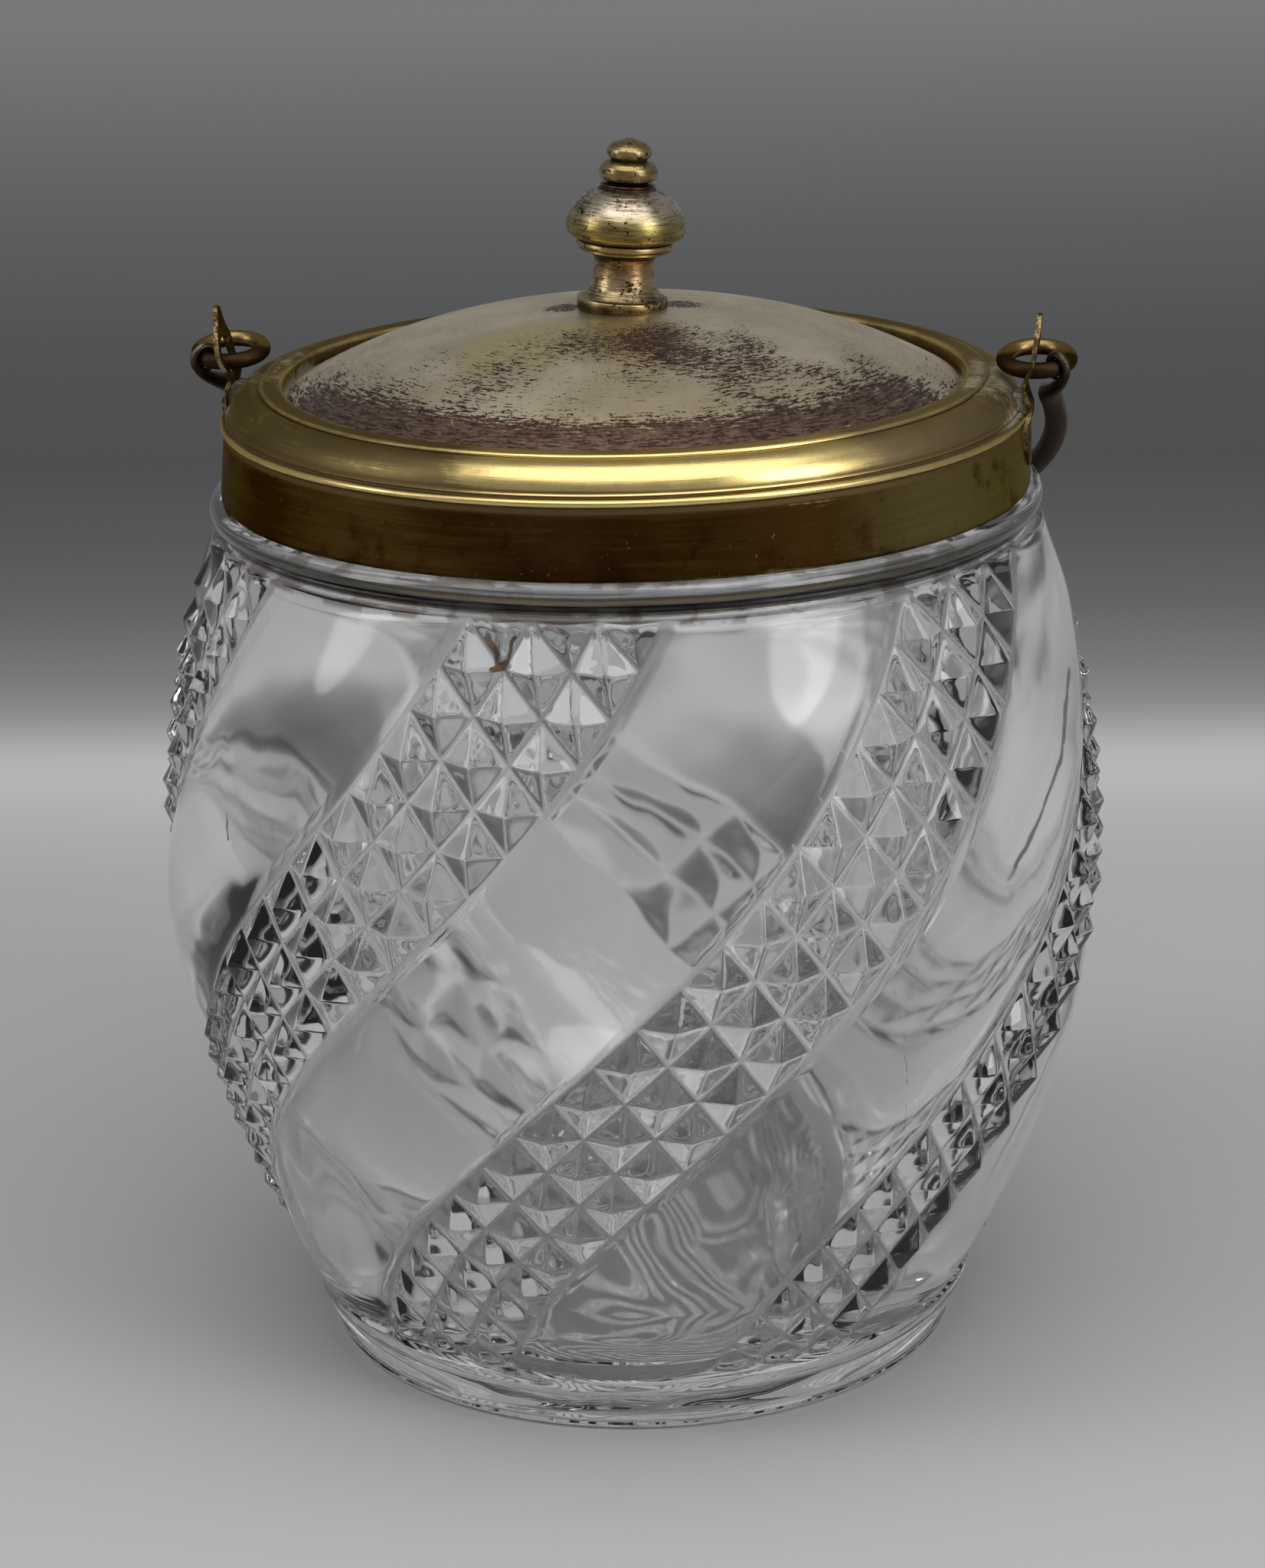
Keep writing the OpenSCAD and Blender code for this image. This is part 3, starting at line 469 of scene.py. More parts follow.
# %% The tree of the pressed pattern
def pressed_pattern(material):
    """A tree that joins band and swirl on one sheet, wraps it and repeats it all round."""
    tree, feed, give = group(
        "Pressed pattern", "GeometryNodeTree",
        {"Bands": ("Int", BANDS), "Diamond height": ("Float", DIAMOND_H),
         "Swirl height": ("Float", SWIRL_H), "Detail": ("Int", 2)},
        {"Geometry": ("Geometry",)})
    point = add(tree, "GeometryNodeInputPosition")
    sheet = tree.nodes.new("GeometryNodeJoinGeometry")
    for part in (smooth_swirl(point, feed["Swirl height"], feed["Detail"]),
                 diamond_band(point, feed["Diamond height"], feed["Detail"])):
        tree.links.new(part.socket, sheet.inputs[0])
    wrapped = add(tree, "GeometryNodeGroup", point, node_tree=barrel_law())
    mesh = add(tree, "GeometryNodeSetPosition", Field(tree, sheet.outputs[0]), None, wrapped)
    turn = add(tree, "GeometryNodeInputIndex") * (tau / BANDS)
    whole = add(tree, "GeometryNodeInstanceOnPoints", named={
        "Points": add(tree, "GeometryNodePoints", feed["Bands"]),
        "Instance": weld(mesh, SKIN_WELD), "Rotation": vector(tree, 0.0, 0.0, turn)})
    mesh = weld(add(tree, "GeometryNodeRealizeInstances", whole), SKIN_WELD)
    give("Geometry", add(tree, "GeometryNodeSetMaterial", mesh, None, material))
    return tree

# %% Run the tree
def grow(name, tree, inputs, start=None):
    """Runs a Geometry Nodes tree on a start mesh and gives its result as a plain mesh."""
    seed = placed(name + "_seed", start or bpy.data.meshes.new(name + "_seed"))
    modifier = seed.modifiers.new("nodes", "NODES")
    modifier.node_group = tree
    ids = {item.name: item.identifier for item in tree.interface.items_tree
           if item.item_type == "SOCKET" and item.in_out == "INPUT"}
    for label, value in inputs.items():
        modifier[ids[label]] = value
    bpy.context.view_layer.update()
    seen = seed.evaluated_get(bpy.context.evaluated_depsgraph_get())
    mesh = bpy.data.meshes.new_from_object(seen)
    mesh.name = name
    bpy.data.objects.remove(seed)
    return mesh


pattern = grow("pattern", pressed_pattern(glass),
               {"Bands": BANDS, "Diamond height": DIAMOND_H, "Swirl height": SWIRL_H})
print("pattern:", len(pattern.vertices), "points,", len(pattern.polygons), "faces")

# %% [markdown]
# The rest of the glass is turned: the foot below the pattern, the groove, rib and neck above
# it, and the smooth inside that the plunger left. It could be a separate lathe shape, but
# glass must be one closed skin, or light bends at walls that aren't there. So rings of the
# same points carry on from the pattern's two open edges and meet nowhere else.

# %% Outlines of the foot, the neck and the inside
def arc(r, z, radius, start, end, steps=6):
    """Outline points [r, z] on an arc round (r, z), between two bearings in degrees."""
    return [(r + radius * cos(radians(a)), z + radius * sin(radians(a)))
            for a in np.linspace(start, end, steps + 1)]


def valley_r(z):
    """The radius of the pattern's valleys at a height, as in the barrel's law."""
    below, above = max(BELLY_Z - z, 0) / (BELLY_Z - LOW_Z), max(z - BELLY_Z, 0) / (TOP_Z - BELLY_Z)
    return BELLY_R - (BELLY_R - WAIST_R) * below ** BEND - (BELLY_R - SHOULDER_R) * above ** BEND


WALL, MOUTH_R, KICK_H, FLOOR_Z, INNER_ROUND, INNER_TOP = 4.6, 50.0, 2.2, 9.2, 9.0, 124.3
COLLAR_Z, NECK_TOP_Z, NECK_R = 130.4, 139.6, 56.6
foot_line = ([(49.6, 9.5), (50.3, 9.2), (50.6, 8.7), (49.9, 6.6), (48.9, 4.4), (47.9, 2.8)]
             + arc(46.9, 1.1, 0.7, 60, -90, 6) + [(46.4, 0.0), (42.0, 0.0)]
             + [(41.6 * (1 - i / 12), KICK_H * (1 - (1 - i / 12) ** 4)) for i in range(1, 12)])
corner_r = valley_r(FLOOR_Z + INNER_ROUND) - WALL - INNER_ROUND
neck_line = ([(59.3, 125.35), (58.9, 125.7), (58.9, 126.2), (59.3, 126.7)]
             + arc(59.2, 128.7, 1.7, -55, 62, 10)
             + [(59.3, 130.38), (57.0, 130.4), (56.7, 130.6), (NECK_R, 131.0)]
             + arc(NECK_R - 0.6, NECK_TOP_Z - 0.6, 0.6, 0, 90, 3)
             + arc(MOUTH_R + 0.6, NECK_TOP_Z - 0.6, 0.6, 90, 180, 3)
             + [(MOUTH_R, 133), (MOUTH_R + 0.3, 131.2), (MOUTH_R + 1.4, 129.6),
                (52.9, 127.6), (54.3, 125.9)]
             + [(valley_r(z) - WALL, z)
                for z in np.linspace(INNER_TOP, FLOOR_Z + INNER_ROUND, 28)]
             + arc(corner_r, FLOOR_Z + INNER_ROUND, INNER_ROUND, 0, -90, 12)[1:]
             + [(corner_r * (1 - i / 8), FLOOR_Z) for i in range(1, 8)])
print("outline points:", len(foot_line), "below and", len(neck_line), "above and inside")

# %% Helpers that close and shade a mesh
def add_rings(bm, edge_ring, outline, pole_z):
    """Carries a mesh on from a ring of points through an outline, and closes it at a pole."""
    bearings = [atan2(v.co.y, v.co.x) for v in edge_ring]
    rings = [edge_ring] + [
        [bm.verts.new((r * MM * cos(a), r * MM * sin(a), z * MM)) for a in bearings]
        for r, z in outline]
    pole = bm.verts.new((0, 0, pole_z * MM))
    count = len(edge_ring)
    for low, high in zip(rings, rings[1:]):
        for i in range(count):
            j = (i + 1) % count
            bm.faces.new((low[i], low[j], high[j], high[i]))
    for i in range(count):
        bm.faces.new((rings[-1][i], rings[-1][(i + 1) % count], pole))


def finish_mesh(bm, mesh, sharp_from=None):
    """Turns every face outwards, smooths the shading and writes the mesh."""
    bmesh.ops.recalc_face_normals(bm, faces=bm.faces[:])
    open_edges = sum(not e.is_manifold for e in bm.edges)
    bm.to_mesh(mesh)
    bm.free()
    mesh.shade_smooth()
    if sharp_from:
        mesh.set_sharp_from_angle(angle=radians(sharp_from))
    print(f"{mesh.name}: {len(mesh.polygons)} faces, {open_edges} open edges")

# %% Helpers that make and dress a piece
def carry(mesh, name, values):
    """Gives a mesh one value for each of its points."""
    mesh.attributes.new(name, "FLOAT", "POINT").data.foreach_set(
        "value", np.asarray(values, np.float32))


def shown(name, mesh, material):
    """A piece that shows a mesh, at the origin."""
    mesh.materials.clear()
    mesh.materials.append(material)
    return placed(name, mesh)


def dress(piece, node, body):
    """Hides the CAD node that a piece stands for, and parents the piece to the body it moves with.
    """
    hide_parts(node)
    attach(piece, body)

# %% [markdown]
# Pressed ridges leave the mould sharp, but the fire polish melts them a little and hands do the
# rest. A bevel on every edge would also round the seams between flat cells, so each edge gets
# a weight by how it bends: valleys the full width, ridges a bit less. The plunger's side is
# smooth but not true, so the points of the inner wall move in and out in slow waves, more
# towards the base. They bend what is seen through the glass, and so they show.

# %% Join and soften the glass
LEAST_BEND, LEAST_EDGE, END_MARGIN = radians(14), 0.5, 1.2
SOFT_WIDTH, RIDGE_SHARE = 0.36, 0.7
# Length in mm, depth in mm at the top and how much deeper at the base, of each inner wave
INNER_WAVES = [(17, 0.3, 0.9), (6, 0.06, 0.14)]
DEEPER_FROM, DEEPER_OVER, PLUNGER_MARGIN = 34, 20, 3
bm = bmesh.new()
bm.from_mesh(pattern)
bmesh.ops.recalc_face_normals(bm, faces=bm.faces[:])
softness = bm.edges.layers.float.new("bevel_weight_edge")
for e in bm.edges:
    z, bend = (e.verts[0].co.z + e.verts[1].co.z) / 2 / MM, e.calc_face_angle_signed(0.0)
    if (abs(bend) > LEAST_BEND and LOW_Z + END_MARGIN < z < TOP_Z - END_MARGIN
            and e.calc_length() > LEAST_EDGE * MM):
        e[softness] = RIDGE_SHARE if bend > 0 else 1.0
print("edges to soften:", sum(e[softness] > 0 for e in bm.edges),
      "valleys:", sum(e[softness] > 0.9 for e in bm.edges))
rim = {v for e in bm.edges if e.is_boundary for v in e.verts}
for is_top, outline, pole_z in ((True, neck_line, FLOOR_Z), (False, foot_line, KICK_H)):
    ring = sorted((v for v in rim if (v.co.z > BELLY_Z * MM) == is_top),
                  key=lambda v: atan2(v.co.y, v.co.x))
    add_rings(bm, ring, outline, pole_z)
for v in bm.verts:
    low_down = min(max((DEEPER_FROM - v.co.z / MM) / DEEPER_OVER, 0), 1)
    wave = sum(noise.noise(v.co / (size * MM)) * (depth + more * low_down)
               for size, depth, more in INNER_WAVES)
    flat = hypot(v.co.x, v.co.y)
    inner_side = 1 < flat / MM < valley_r(v.co.z / MM) - PLUNGER_MARGIN
    if inner_side and v.co.z > FLOOR_Z * 0.9 * MM:
        v.co.x, v.co.y = (c * (1 + wave * MM / flat) for c in (v.co.x, v.co.y))
finish_mesh(bm, pattern)
carry(pattern, "rise", [
    hypot(v.co.x, v.co.y) / MM - valley_r(v.co.z / MM) if 9.6 < v.co.z / MM < 125.4 else 1.0
    for v in pattern.vertices])
barrel = shown("glass_barrel", pattern, glass)
soften = barrel.modifiers.new("softened ridges", "BEVEL")
soften.width, soften.segments, soften.limit_method = SOFT_WIDTH * MM, 2, "WEIGHT"
soften.use_clamp_overlap = False
dress(barrel, "glass_jar", "jar")

# %% [markdown]
# ## Marks of making and of wear, shared by the metals
# Three effects come back on several metals, so each is a shader node group, built once:
# the fine lines that a spinning tool leaves round a piece, the brown film that a polishing
# cloth leaves in hollows, and the silver plate that has worn through. A group puts out
# colours and values only, and each material feeds its own shader with them.

# %% Spun lines
NEVER_ZERO = 1e-6  # keeps a division on the axis harmless
streaks, feed, give = group(
    "Spun lines", "ShaderNodeTree",
    {"Place": ("Vector",), "Turns": ("Float", 5.0), "Fineness": ("Float", 1500.0)},
    {"Lines": ("Float",)})
x, y, z = feed["Place"].parts()
radius = from_axis(x, y) + NEVER_ZERO
spot = vector(streaks, x / radius * feed["Turns"], y / radius * feed["Turns"],
              z * feed["Fineness"])
give("Lines", grain(spot, 1.0, 3.0, 0.65, w=radius * feed["Fineness"]))

# %% Old polish
polish, feed, give = group(
    "Old polish", "ShaderNodeTree",
    {"Place": ("Vector",), "Crest": ("Float", 0.0), "Lines": ("Float", 0.5),
     "Film": ("Float", 0.5), "Bright": ("Color",), "Dull": ("Color",), "Dirt": ("Color",)},
    {"Color": ("Color",), "Roughness": ("Float",), "Height": ("Float",)})
cloud = grain(feed["Place"], 62.0, 6.0, 0.62)
mottle = grain(feed["Place"], 420.0, 4.0, 0.65)
speck = grain(feed["Place"], 1100.0, 3.0, 0.7)
film = (cloud * 1.1 + (mottle - 0.5) * 0.4 + (feed["Lines"] - 0.5) * 0.7 + feed["Film"]
        - feed["Crest"] * 0.8 - 0.55).ramp(0.2, 0.85)
hollow = (cloud * 0.35 - feed["Crest"] * 1.4 - 0.12).ramp(0.05, 0.4)
pits = speck.ramp(0.66, 0.72) * film * 0.8
give("Color", mix(hollow.sum("MAXIMUM", pits), mix(film, feed["Bright"], feed["Dull"]),
                  feed["Dirt"]))
give("Roughness", film * 0.16 + hollow * 0.2 + (feed["Lines"] + mottle) * 0.14 + 0.14)
give("Height", feed["Lines"] + mottle * 0.6 - pits * 1.2 - hollow * 0.5)

# %% Worn plate
CREAM, WORN_CREAM = (0.78, 0.675, 0.49), (0.48, 0.395, 0.255)
BARE, THIN_FILM = (0.60, 0.50, 0.26), (0.20, 0.125, 0.088)
THICK_FILM = (0.045, 0.027, 0.021)
plate, feed, give = group(
    "Worn plate", "ShaderNodeTree",
    {"Place": ("Vector",), "Tarnish": ("Float", 0.0), "Bare": ("Float", 0.0),
     "Lines": ("Float", 0.5)},
    {"Color": ("Color",), "Roughness": ("Float",), "Height": ("Float",)})
x, y, z = feed["Place"].parts()
radius = from_axis(x, y) + NEVER_ZERO
across, along = x / radius, y / radius
fleck = grain(vector(plate, across * 20.0, along * 20.0, z * 900.0), 1.0, 5.0, 0.62,
              w=radius * 3000.0)
crumb = grain(vector(plate, across * 75.0, along * 75.0, z * 900.0), 1.0, 4.0, 0.7,
              w=radius * 2600.0 + 7.0)
cloud = grain(feed["Place"], 45.0, 5.0, 0.62)
left_on = (feed["Tarnish"] + (fleck - 0.5) * 3.6 + (crumb - 0.5) * 2.2
           + (cloud - 0.5) * 1.8).ramp(0.46, 0.56)
silver = mix((cloud + feed["Lines"] * 0.5 + crumb * 0.2).ramp(0.6, 1.05), CREAM, WORN_CREAM)
silver = mix((feed["Bare"] + (cloud - 0.5) * 0.8).ramp(0.35, 0.8), silver, BARE)
film = mix((fleck * 0.6 + crumb * 0.4).ramp(0.42, 0.58), THIN_FILM, THICK_FILM)
give("Color", mix(left_on, silver, film))
give("Roughness", left_on * 0.1 + feed["Lines"] * 0.26 + (crumb - 0.5) * 0.2 + 0.26)
give("Height", feed["Lines"] * 0.8 + left_on + crumb * 0.4)

# %% [markdown]
# ## Old brass
# Brass has no paint: its metallic value is 1, and its colour is that of its reflections. Where
# the film on it is old, it also darkens when it is seen at a low angle. A second shader on
# top could do that, but the Principled BSDF has a Specular Tint for just this, and it costs
# nothing, so each brass sets it as its edge colour. One function makes all the brasses: the
# film's strength and colour are plain values, or functions of the place on the piece.

# %% A finish of old brass
BRASS, UMBER, EDGE = (0.52, 0.39, 0.16), (0.035, 0.022, 0.013), (0.58, 0.50, 0.38)
DUST = (0.36, 0.32, 0.235)


def use_group(shared, place, **feeds):
    """Puts a shared group into a material, and feeds its inputs by name."""
    return add(place.tree, "ShaderNodeGroup", node_tree=shared, named={
        "Place": place, **{name.capitalize(): feed for name, feed in feeds.items()}})


def coat(shader, colour, roughness, height, depth, metallic=1.0):
    """Feeds a shader with a finish. Depth is how deep the height's marks are, in mm."""
    bump = add(colour.tree, "ShaderNodeBump", named={"Height": height, "Distance": depth * MM})
    paint(shader, {"Base Color": colour, "Roughness": roughness, "Normal": bump,
                   "Metallic": metallic})


def brass(name, film, bright=BRASS, dull=BRASS, dirt=UMBER, depth=0.02, crest=True,
          residue=None, edge=EDGE):
    """A material of old brass. Residue is a function that says where old polish has dried."""
    material, tree, shader = plain_material(name)
    place = object_place(tree)
    film, dull = (value(place) if callable(value) else value for value in (film, dull))
    finish = use_group(polish, place, film=film, bright=bright, dull=dull, dirt=dirt,
                       lines=use_group(streaks, place, turns=7.0, fineness=3600.0),
                       crest=marked(tree, "crest") if crest else 0.0)
    colour, roughness = finish, finish.other("Roughness")
    if residue:
        dust = residue(place)
        colour = mix(dust, colour, DUST)
        roughness = roughness + dust * 0.3
    coat(shader, colour, roughness, finish.other("Height"), depth)
    paint(shader, {"Specular Tint": edge})
    print(name, "has", len(tree.nodes), "nodes")
    return material

# %% [markdown]
# The collar shows three states of one brass. The band under the bead was never polished, and
# is a deep olive brown with darker spots. The shoulder was polished, and its film is made
# thinner still where it faces the front, so it is almost bare there: that bright stretch is a
# painted highlight. Round to the right both turn paler. Polish itself has dried beside the
# ears, where a cloth can't reach. A painted sheet could be wrapped round the collar, but height
# and bearing are known at every point, so a few soft ramps over them are enough.

# %% Collar brass
BAND_END = 139.9 * MM  # above it the polished part begins
BAND_BROWN, BAND_OLIVE = (0.038, 0.016, 0.003), (0.072, 0.042, 0.010)
BAND_DARK, BAND_SPOT = (0.028, 0.013, 0.003), (0.022, 0.008, 0.0025)
BAND_PALE, SHOULDER_PALE = (0.16, 0.125, 0.045), (0.23, 0.172, 0.088)
SHOULDER_DULL = (0.145, 0.105, 0.045)


def facing(place, degrees):
    """How squarely a place looks towards a bearing: 1 straight at it, -1 away from it."""
    x, y, _ = place.parts()
    return ((x * sin(radians(degrees)) - y * cos(radians(degrees)))
            / (from_axis(x, y) + NEVER_ZERO))


def collar_film_and_highlight(place):
    """The strength of the film: full on the band, least at the front of the shoulder, where the
    thinner film is a painted highlight.
    """
    z = place.parts()[2]
    # painted highlight: the shoulder's film thins where it faces a bearing of 15 degrees, so it
    # shows bright there
    shoulder = facing(place, 15).ramp(0.82, 0.995, 0.98, -0.08)
    return mix(z.ramp(BAND_END, 140.6 * MM), z.ramp(138 * MM, 140 * MM, 1.2, 0.8), shoulder)


def collar_dull(place):
    """The colour of the film, by height and bearing."""
    lines = use_group(streaks, place, turns=3.0, fineness=1400.0)
    patch = (grain(place, 38.0, 2.0) + (lines - 0.5) * 0.5).ramp(0.36, 0.62)
    band = mix(patch, BAND_BROWN, BAND_OLIVE)
    band = mix(facing(place, 44).ramp(0.86, 0.98) * 0.8, band, BAND_DARK)
    band = mix(facing(place, 80).ramp(0.72, 0.97) * (lines * 0.7 + 0.65), band, BAND_PALE)
    band = mix(grain(place, 130.0, 5.0, 0.7).ramp(0.5, 0.68) * 0.75, band, BAND_SPOT)
    shoulder = mix(facing(place, 72).ramp(0.55, 0.97), SHOULDER_DULL, SHOULDER_PALE)
    return mix(place.parts()[2].ramp(BAND_END, 140.9 * MM), band, shoulder)


def dried_polish(place):
    """Crumbs of old polish above the bead, most of them beside the ears."""
    x, y, z = place.parts()
    beside = ((x * x) / (x * x + y * y + 1e-9)).ramp(0.90, 0.985)
    dust = (grain(place, 700.0, 6.0, 0.8) + grain(place, 120.0, 2.0) * 0.5
            + beside * 0.3 - marked(place.tree, "crest") * 0.35).ramp(0.86, 1.22)
    return dust * beside.sum("MAXIMUM", 0.15) * z.ramp(140.6 * MM, 141.2 * MM)


collar_brass = brass("collar_brass", collar_film_and_highlight, bright=(0.72, 0.55, 0.22),
                     dull=collar_dull, dirt=(0.13, 0.088, 0.038), residue=dried_polish)

# %% [markdown]
# The ears, links and bail were handled, never polished. An ear's film is broken up finely,
# a link is dark brown on its near half, where it passes through its ear, which is painted
# shade, and paler on its far half, and the bail is dark and even like bronze. Four finishes of
# one function keep them a family. The brass under the lid was never seen, and is simply dull.

# %% Brass of the ears, links, bail and inside
def ear_film(place):
    return grain(place, 480.0, 4.0, 0.7) * 3.4 - 0.82


def link_film_and_shade(place):
    # painted shade: the ring's near half, through the ear's hole, gets a thicker, darker film
    return (place.parts()[1].ramp(1.5 * MM, 6.0 * MM, 1.4, 0.35)
            + grain(place, 300.0, 2.0) * 0.3 - 0.15)


ear_brass = brass("ear_brass", ear_film, bright=(0.30, 0.22, 0.10),
                  dull=(0.05, 0.031, 0.016), depth=0.05)
link_brass = brass("link_brass", link_film_and_shade, bright=(0.25, 0.175, 0.065),
                   dull=(0.034, 0.019, 0.009), depth=0.05)
bar_bronze = brass("bar_bronze", 0.7, bright=(0.13, 0.10, 0.07),
                   dull=(0.052, 0.04, 0.031), depth=0.04, edge=(0.9, 0.88, 0.86))
inside_brass = brass("inside_brass", 0.4, dull=(0.24, 0.17, 0.08), crest=False)

# %% [markdown]
# ## Silver plate
# The lid's plate is thin silver over brass. It is creamy where it is whole and yellow where it
# is worn, and a purple-brown film is left near the rim at the front and in a few patches.
# Noise alone would put the patches anywhere, so their places are a short list, and the noise
# only breaks up their edges into flecks that run round with the spinning marks.

# %% Worn silver of the lid
LID_R, APEX_Z, DOME_H, DOME_POWER = 48.8, 156.0, 11.3, 2.4
# Where the brown film is left on the lid: x, y and half-width in mm, and its strength
FILM_PATCHES = [(14, -17, 7, 0.5), (24, -25, 7, 0.6), (4, -23, 7, 0.5), (-22, -31, 8, 0.4),
                (-33, -20, 8, 0.35), (-10, -35, 6, 0.35), (40, -17, 7, 0.6), (-8.6, -0.5, 2, 1.3),
                (8.5, 3, 2.2, 1.3), (-8, -22, 5, 0.25), (12, -9, 8, 0.05), (0, -24, 16, 0.2),
                (27, -10, 7, 0.32), (2, -11, 8, 0.25)]
BARE_PATCHES = [(-12.4, -20.4, 7, 0.8), (3, -15.6, 6, 0.7), (-6, -14, 6, 0.4)]


def patches(x, y, rows):
    """Adds soft round patches up to one mask."""
    total = 0.0
    for patch_x, patch_y, half, strength in rows:
        across, along = (x - patch_x * MM) / (half * MM), (y - patch_y * MM) / (half * MM)
        total = (across * across + along * along).ramp(0.0, 4.0, strength, 0.0) + total
    return total


worn_silver, tree, shader = plain_material("worn_silver")
place = object_place(tree)
x, y, _ = place.parts()
front = y.ramp(-45 * MM, 6 * MM, 1.0, 0.24)
rim_film = from_axis(x, y).ramp(38.0 * MM, 46.5 * MM) * front * 1.7 - 0.38
finish = use_group(plate, place, lines=use_group(streaks, place, turns=5.0, fineness=1600.0),
                   tarnish=rim_film + patches(x, y, FILM_PATCHES),
                   bare=patches(x, y, BARE_PATCHES))
coat(shader, finish, finish.other("Roughness"), finish.other("Height"), 0.012)
print("patches on the lid:", len(FILM_PATCHES), "of film,", len(BARE_PATCHES), "bare")

# %% [markdown]
# The finial's plate has worn in bands, one to each turning: brown in the pedestal's foot,
# yellow on its stem, orange on the flange, silver on the bulb and dark under the cap. One
# colour ramp by height holds them all, and grain shifts it so no band ends in a clean line.
# The finial leans, so its height is measured along the leaning stud.

# %% Finial metal
LEAN, FINIAL_H = 4, 24.5
# The share of the finial's height, and the colour there
FINIAL_COLOURS = [(0.0, 0.03, 0.022, 0.015), (0.022, 0.07, 0.05, 0.03), (0.036, 0.26, 0.20, 0.09),
                  (0.062, 0.34, 0.265, 0.13), (0.1, 0.38, 0.295, 0.17), (0.16, 0.46, 0.325, 0.17),
                  (0.27, 0.34, 0.19, 0.085), (0.33, 0.19, 0.115, 0.045), (0.4, 0.24, 0.165, 0.05),
                  (0.44, 0.27, 0.20, 0.058), (0.53, 0.36, 0.28, 0.10), (0.6, 0.54, 0.455, 0.33),
                  (0.69, 0.50, 0.42, 0.32), (0.705, 0.07, 0.035, 0.022),
                  (0.74, 0.085, 0.042, 0.026), (0.77, 0.23, 0.165, 0.07), (0.86, 0.25, 0.185, 0.08),
                  (0.89, 0.20, 0.15, 0.045), (1.0, 0.30, 0.22, 0.09)]
STREAK_BROWN, RUBBED_BRASS = (0.085, 0.058, 0.026), (0.48, 0.38, 0.18)
PIT_BLACK = (0.016, 0.011, 0.009)
DARK_JOINT = 0.723  # the dark joint between bead and cap is never rubbed bright
finial_silver, tree, shader = plain_material("finial_silver")
place = add(tree, "ShaderNodeMapping", vector_type="TEXTURE", named={
    "Vector": object_place(tree), "Location": (0, 0, APEX_Z * MM),
    "Rotation": (0, radians(LEAN), 0)})
crest = marked(tree, "crest")
lines = use_group(streaks, place, turns=2.2, fineness=6500.0)
cloud = grain(place, 260.0, 5.0, 0.65)
pit = grain(place, 1500.0, 3.0, 0.7)
height = place.parts()[2] / (FINIAL_H * MM) + (cloud - 0.5) * 0.1 + (lines - 0.5) * 0.05
streak = (lines * 1.2 + (cloud - 0.5) * 0.9).ramp(0.52, 0.74) * 0.85
worn = ((crest + (cloud - 0.5) * 0.6 + (lines - 0.5) * 0.4).ramp(0.18, 0.5)
        * (height - DARK_JOINT).sum("ABSOLUTE").ramp(0.02, 0.035))
hollow = (cloud * 0.4 - crest * 1.1 - 0.12).ramp(0.3, 0.62)
pits = (pit + (cloud - 0.5) * 0.8).ramp(0.60, 0.67)
colour = mix(streak, colour_ramp(height, FINIAL_COLOURS), STREAK_BROWN)
colour = mix(worn * 0.5, colour, RUBBED_BRASS)
colour = mix(hollow.sum("MAXIMUM", pits), colour, PIT_BLACK)
coat(shader, colour, hollow * 0.25 + lines * 0.3 + (cloud - 0.5) * 0.2 + 0.16,
     lines - hollow - pits, 0.03)
print("colours along the finial:", len(FINIAL_COLOURS))

# %% [markdown]
# Old solder is half metal and half verdigris, and the plaster is matt, and damp and brown near
# its lower edge. Both are mostly hidden, so a plain noise on each is enough.

# %% Solder and plaster
SOLDER_COLOURS = [(0.3, 0.03, 0.028, 0.02), (0.5, 0.12, 0.11, 0.08), (0.6, 0.30, 0.31, 0.25),
                  (0.7, 0.12, 0.17, 0.11)]
DRY_PLASTER, DAMP_PLASTER = (0.70, 0.65, 0.53), (0.22, 0.14, 0.07)
solder_grey, tree, shader = plain_material("solder")
cloud = grain(object_place(tree), 700.0, 4.0, 0.65)
coat(shader, colour_ramp(cloud, SOLDER_COLOURS), cloud * 0.3 + 0.45, cloud, 0.15, metallic=0.4)

plaster_white, tree, shader = plain_material("plaster")
place = object_place(tree)
cloud = grain(place, 240.0, 5.0, 0.6)
damp = (cloud + place.parts()[2].ramp(130 * MM, 134 * MM, 0.35, 0.0)).ramp(0.45, 0.8)
coat(shader, mix(damp, DRY_PLASTER, DAMP_PLASTER), damp * 0.1 + 0.8, cloud, 0.2, metallic=0.0)
print("solder colours:", len(SOLDER_COLOURS))

# %% [markdown]
# ## Spun and turned pieces
# The collar and the lid are sheet brass, pressed over a wooden form while it spins, and the
# finial's pieces are turned from bar. Both give the same kind of shape: one outline, carried
# round an axis. Blender's Screw modifier does that too, but here each point of the outline
# also measures how far it stands out of its surroundings. That number goes with the mesh as
# "crest", and the materials read it: crests are rubbed bright and hollows keep their dirt.
# No corner is left sharp: spinning and a century of cloths round them all.

# %% Ease an outline and space its points
def eased(outline, closed, ease):
    """Replaces each corner of an outline by a short curve that starts `ease` mm before it."""
    points = [np.array(p, float) for p in outline]
    line = []
    for i, corner in enumerate(points):
        if not closed and i in (0, len(points) - 1):
            line.append(corner)
            continue
        sides = [points[(i + step) % len(points)] - corner for step in (-1, 1)]
        start, end = (corner + side * min(ease / np.linalg.norm(side), 0.45) for side in sides)
        line += [(1 - t) ** 2 * start + 2 * t * (1 - t) * corner + t * t * end
                 for t in np.linspace(0, 1, 5)]
    return line


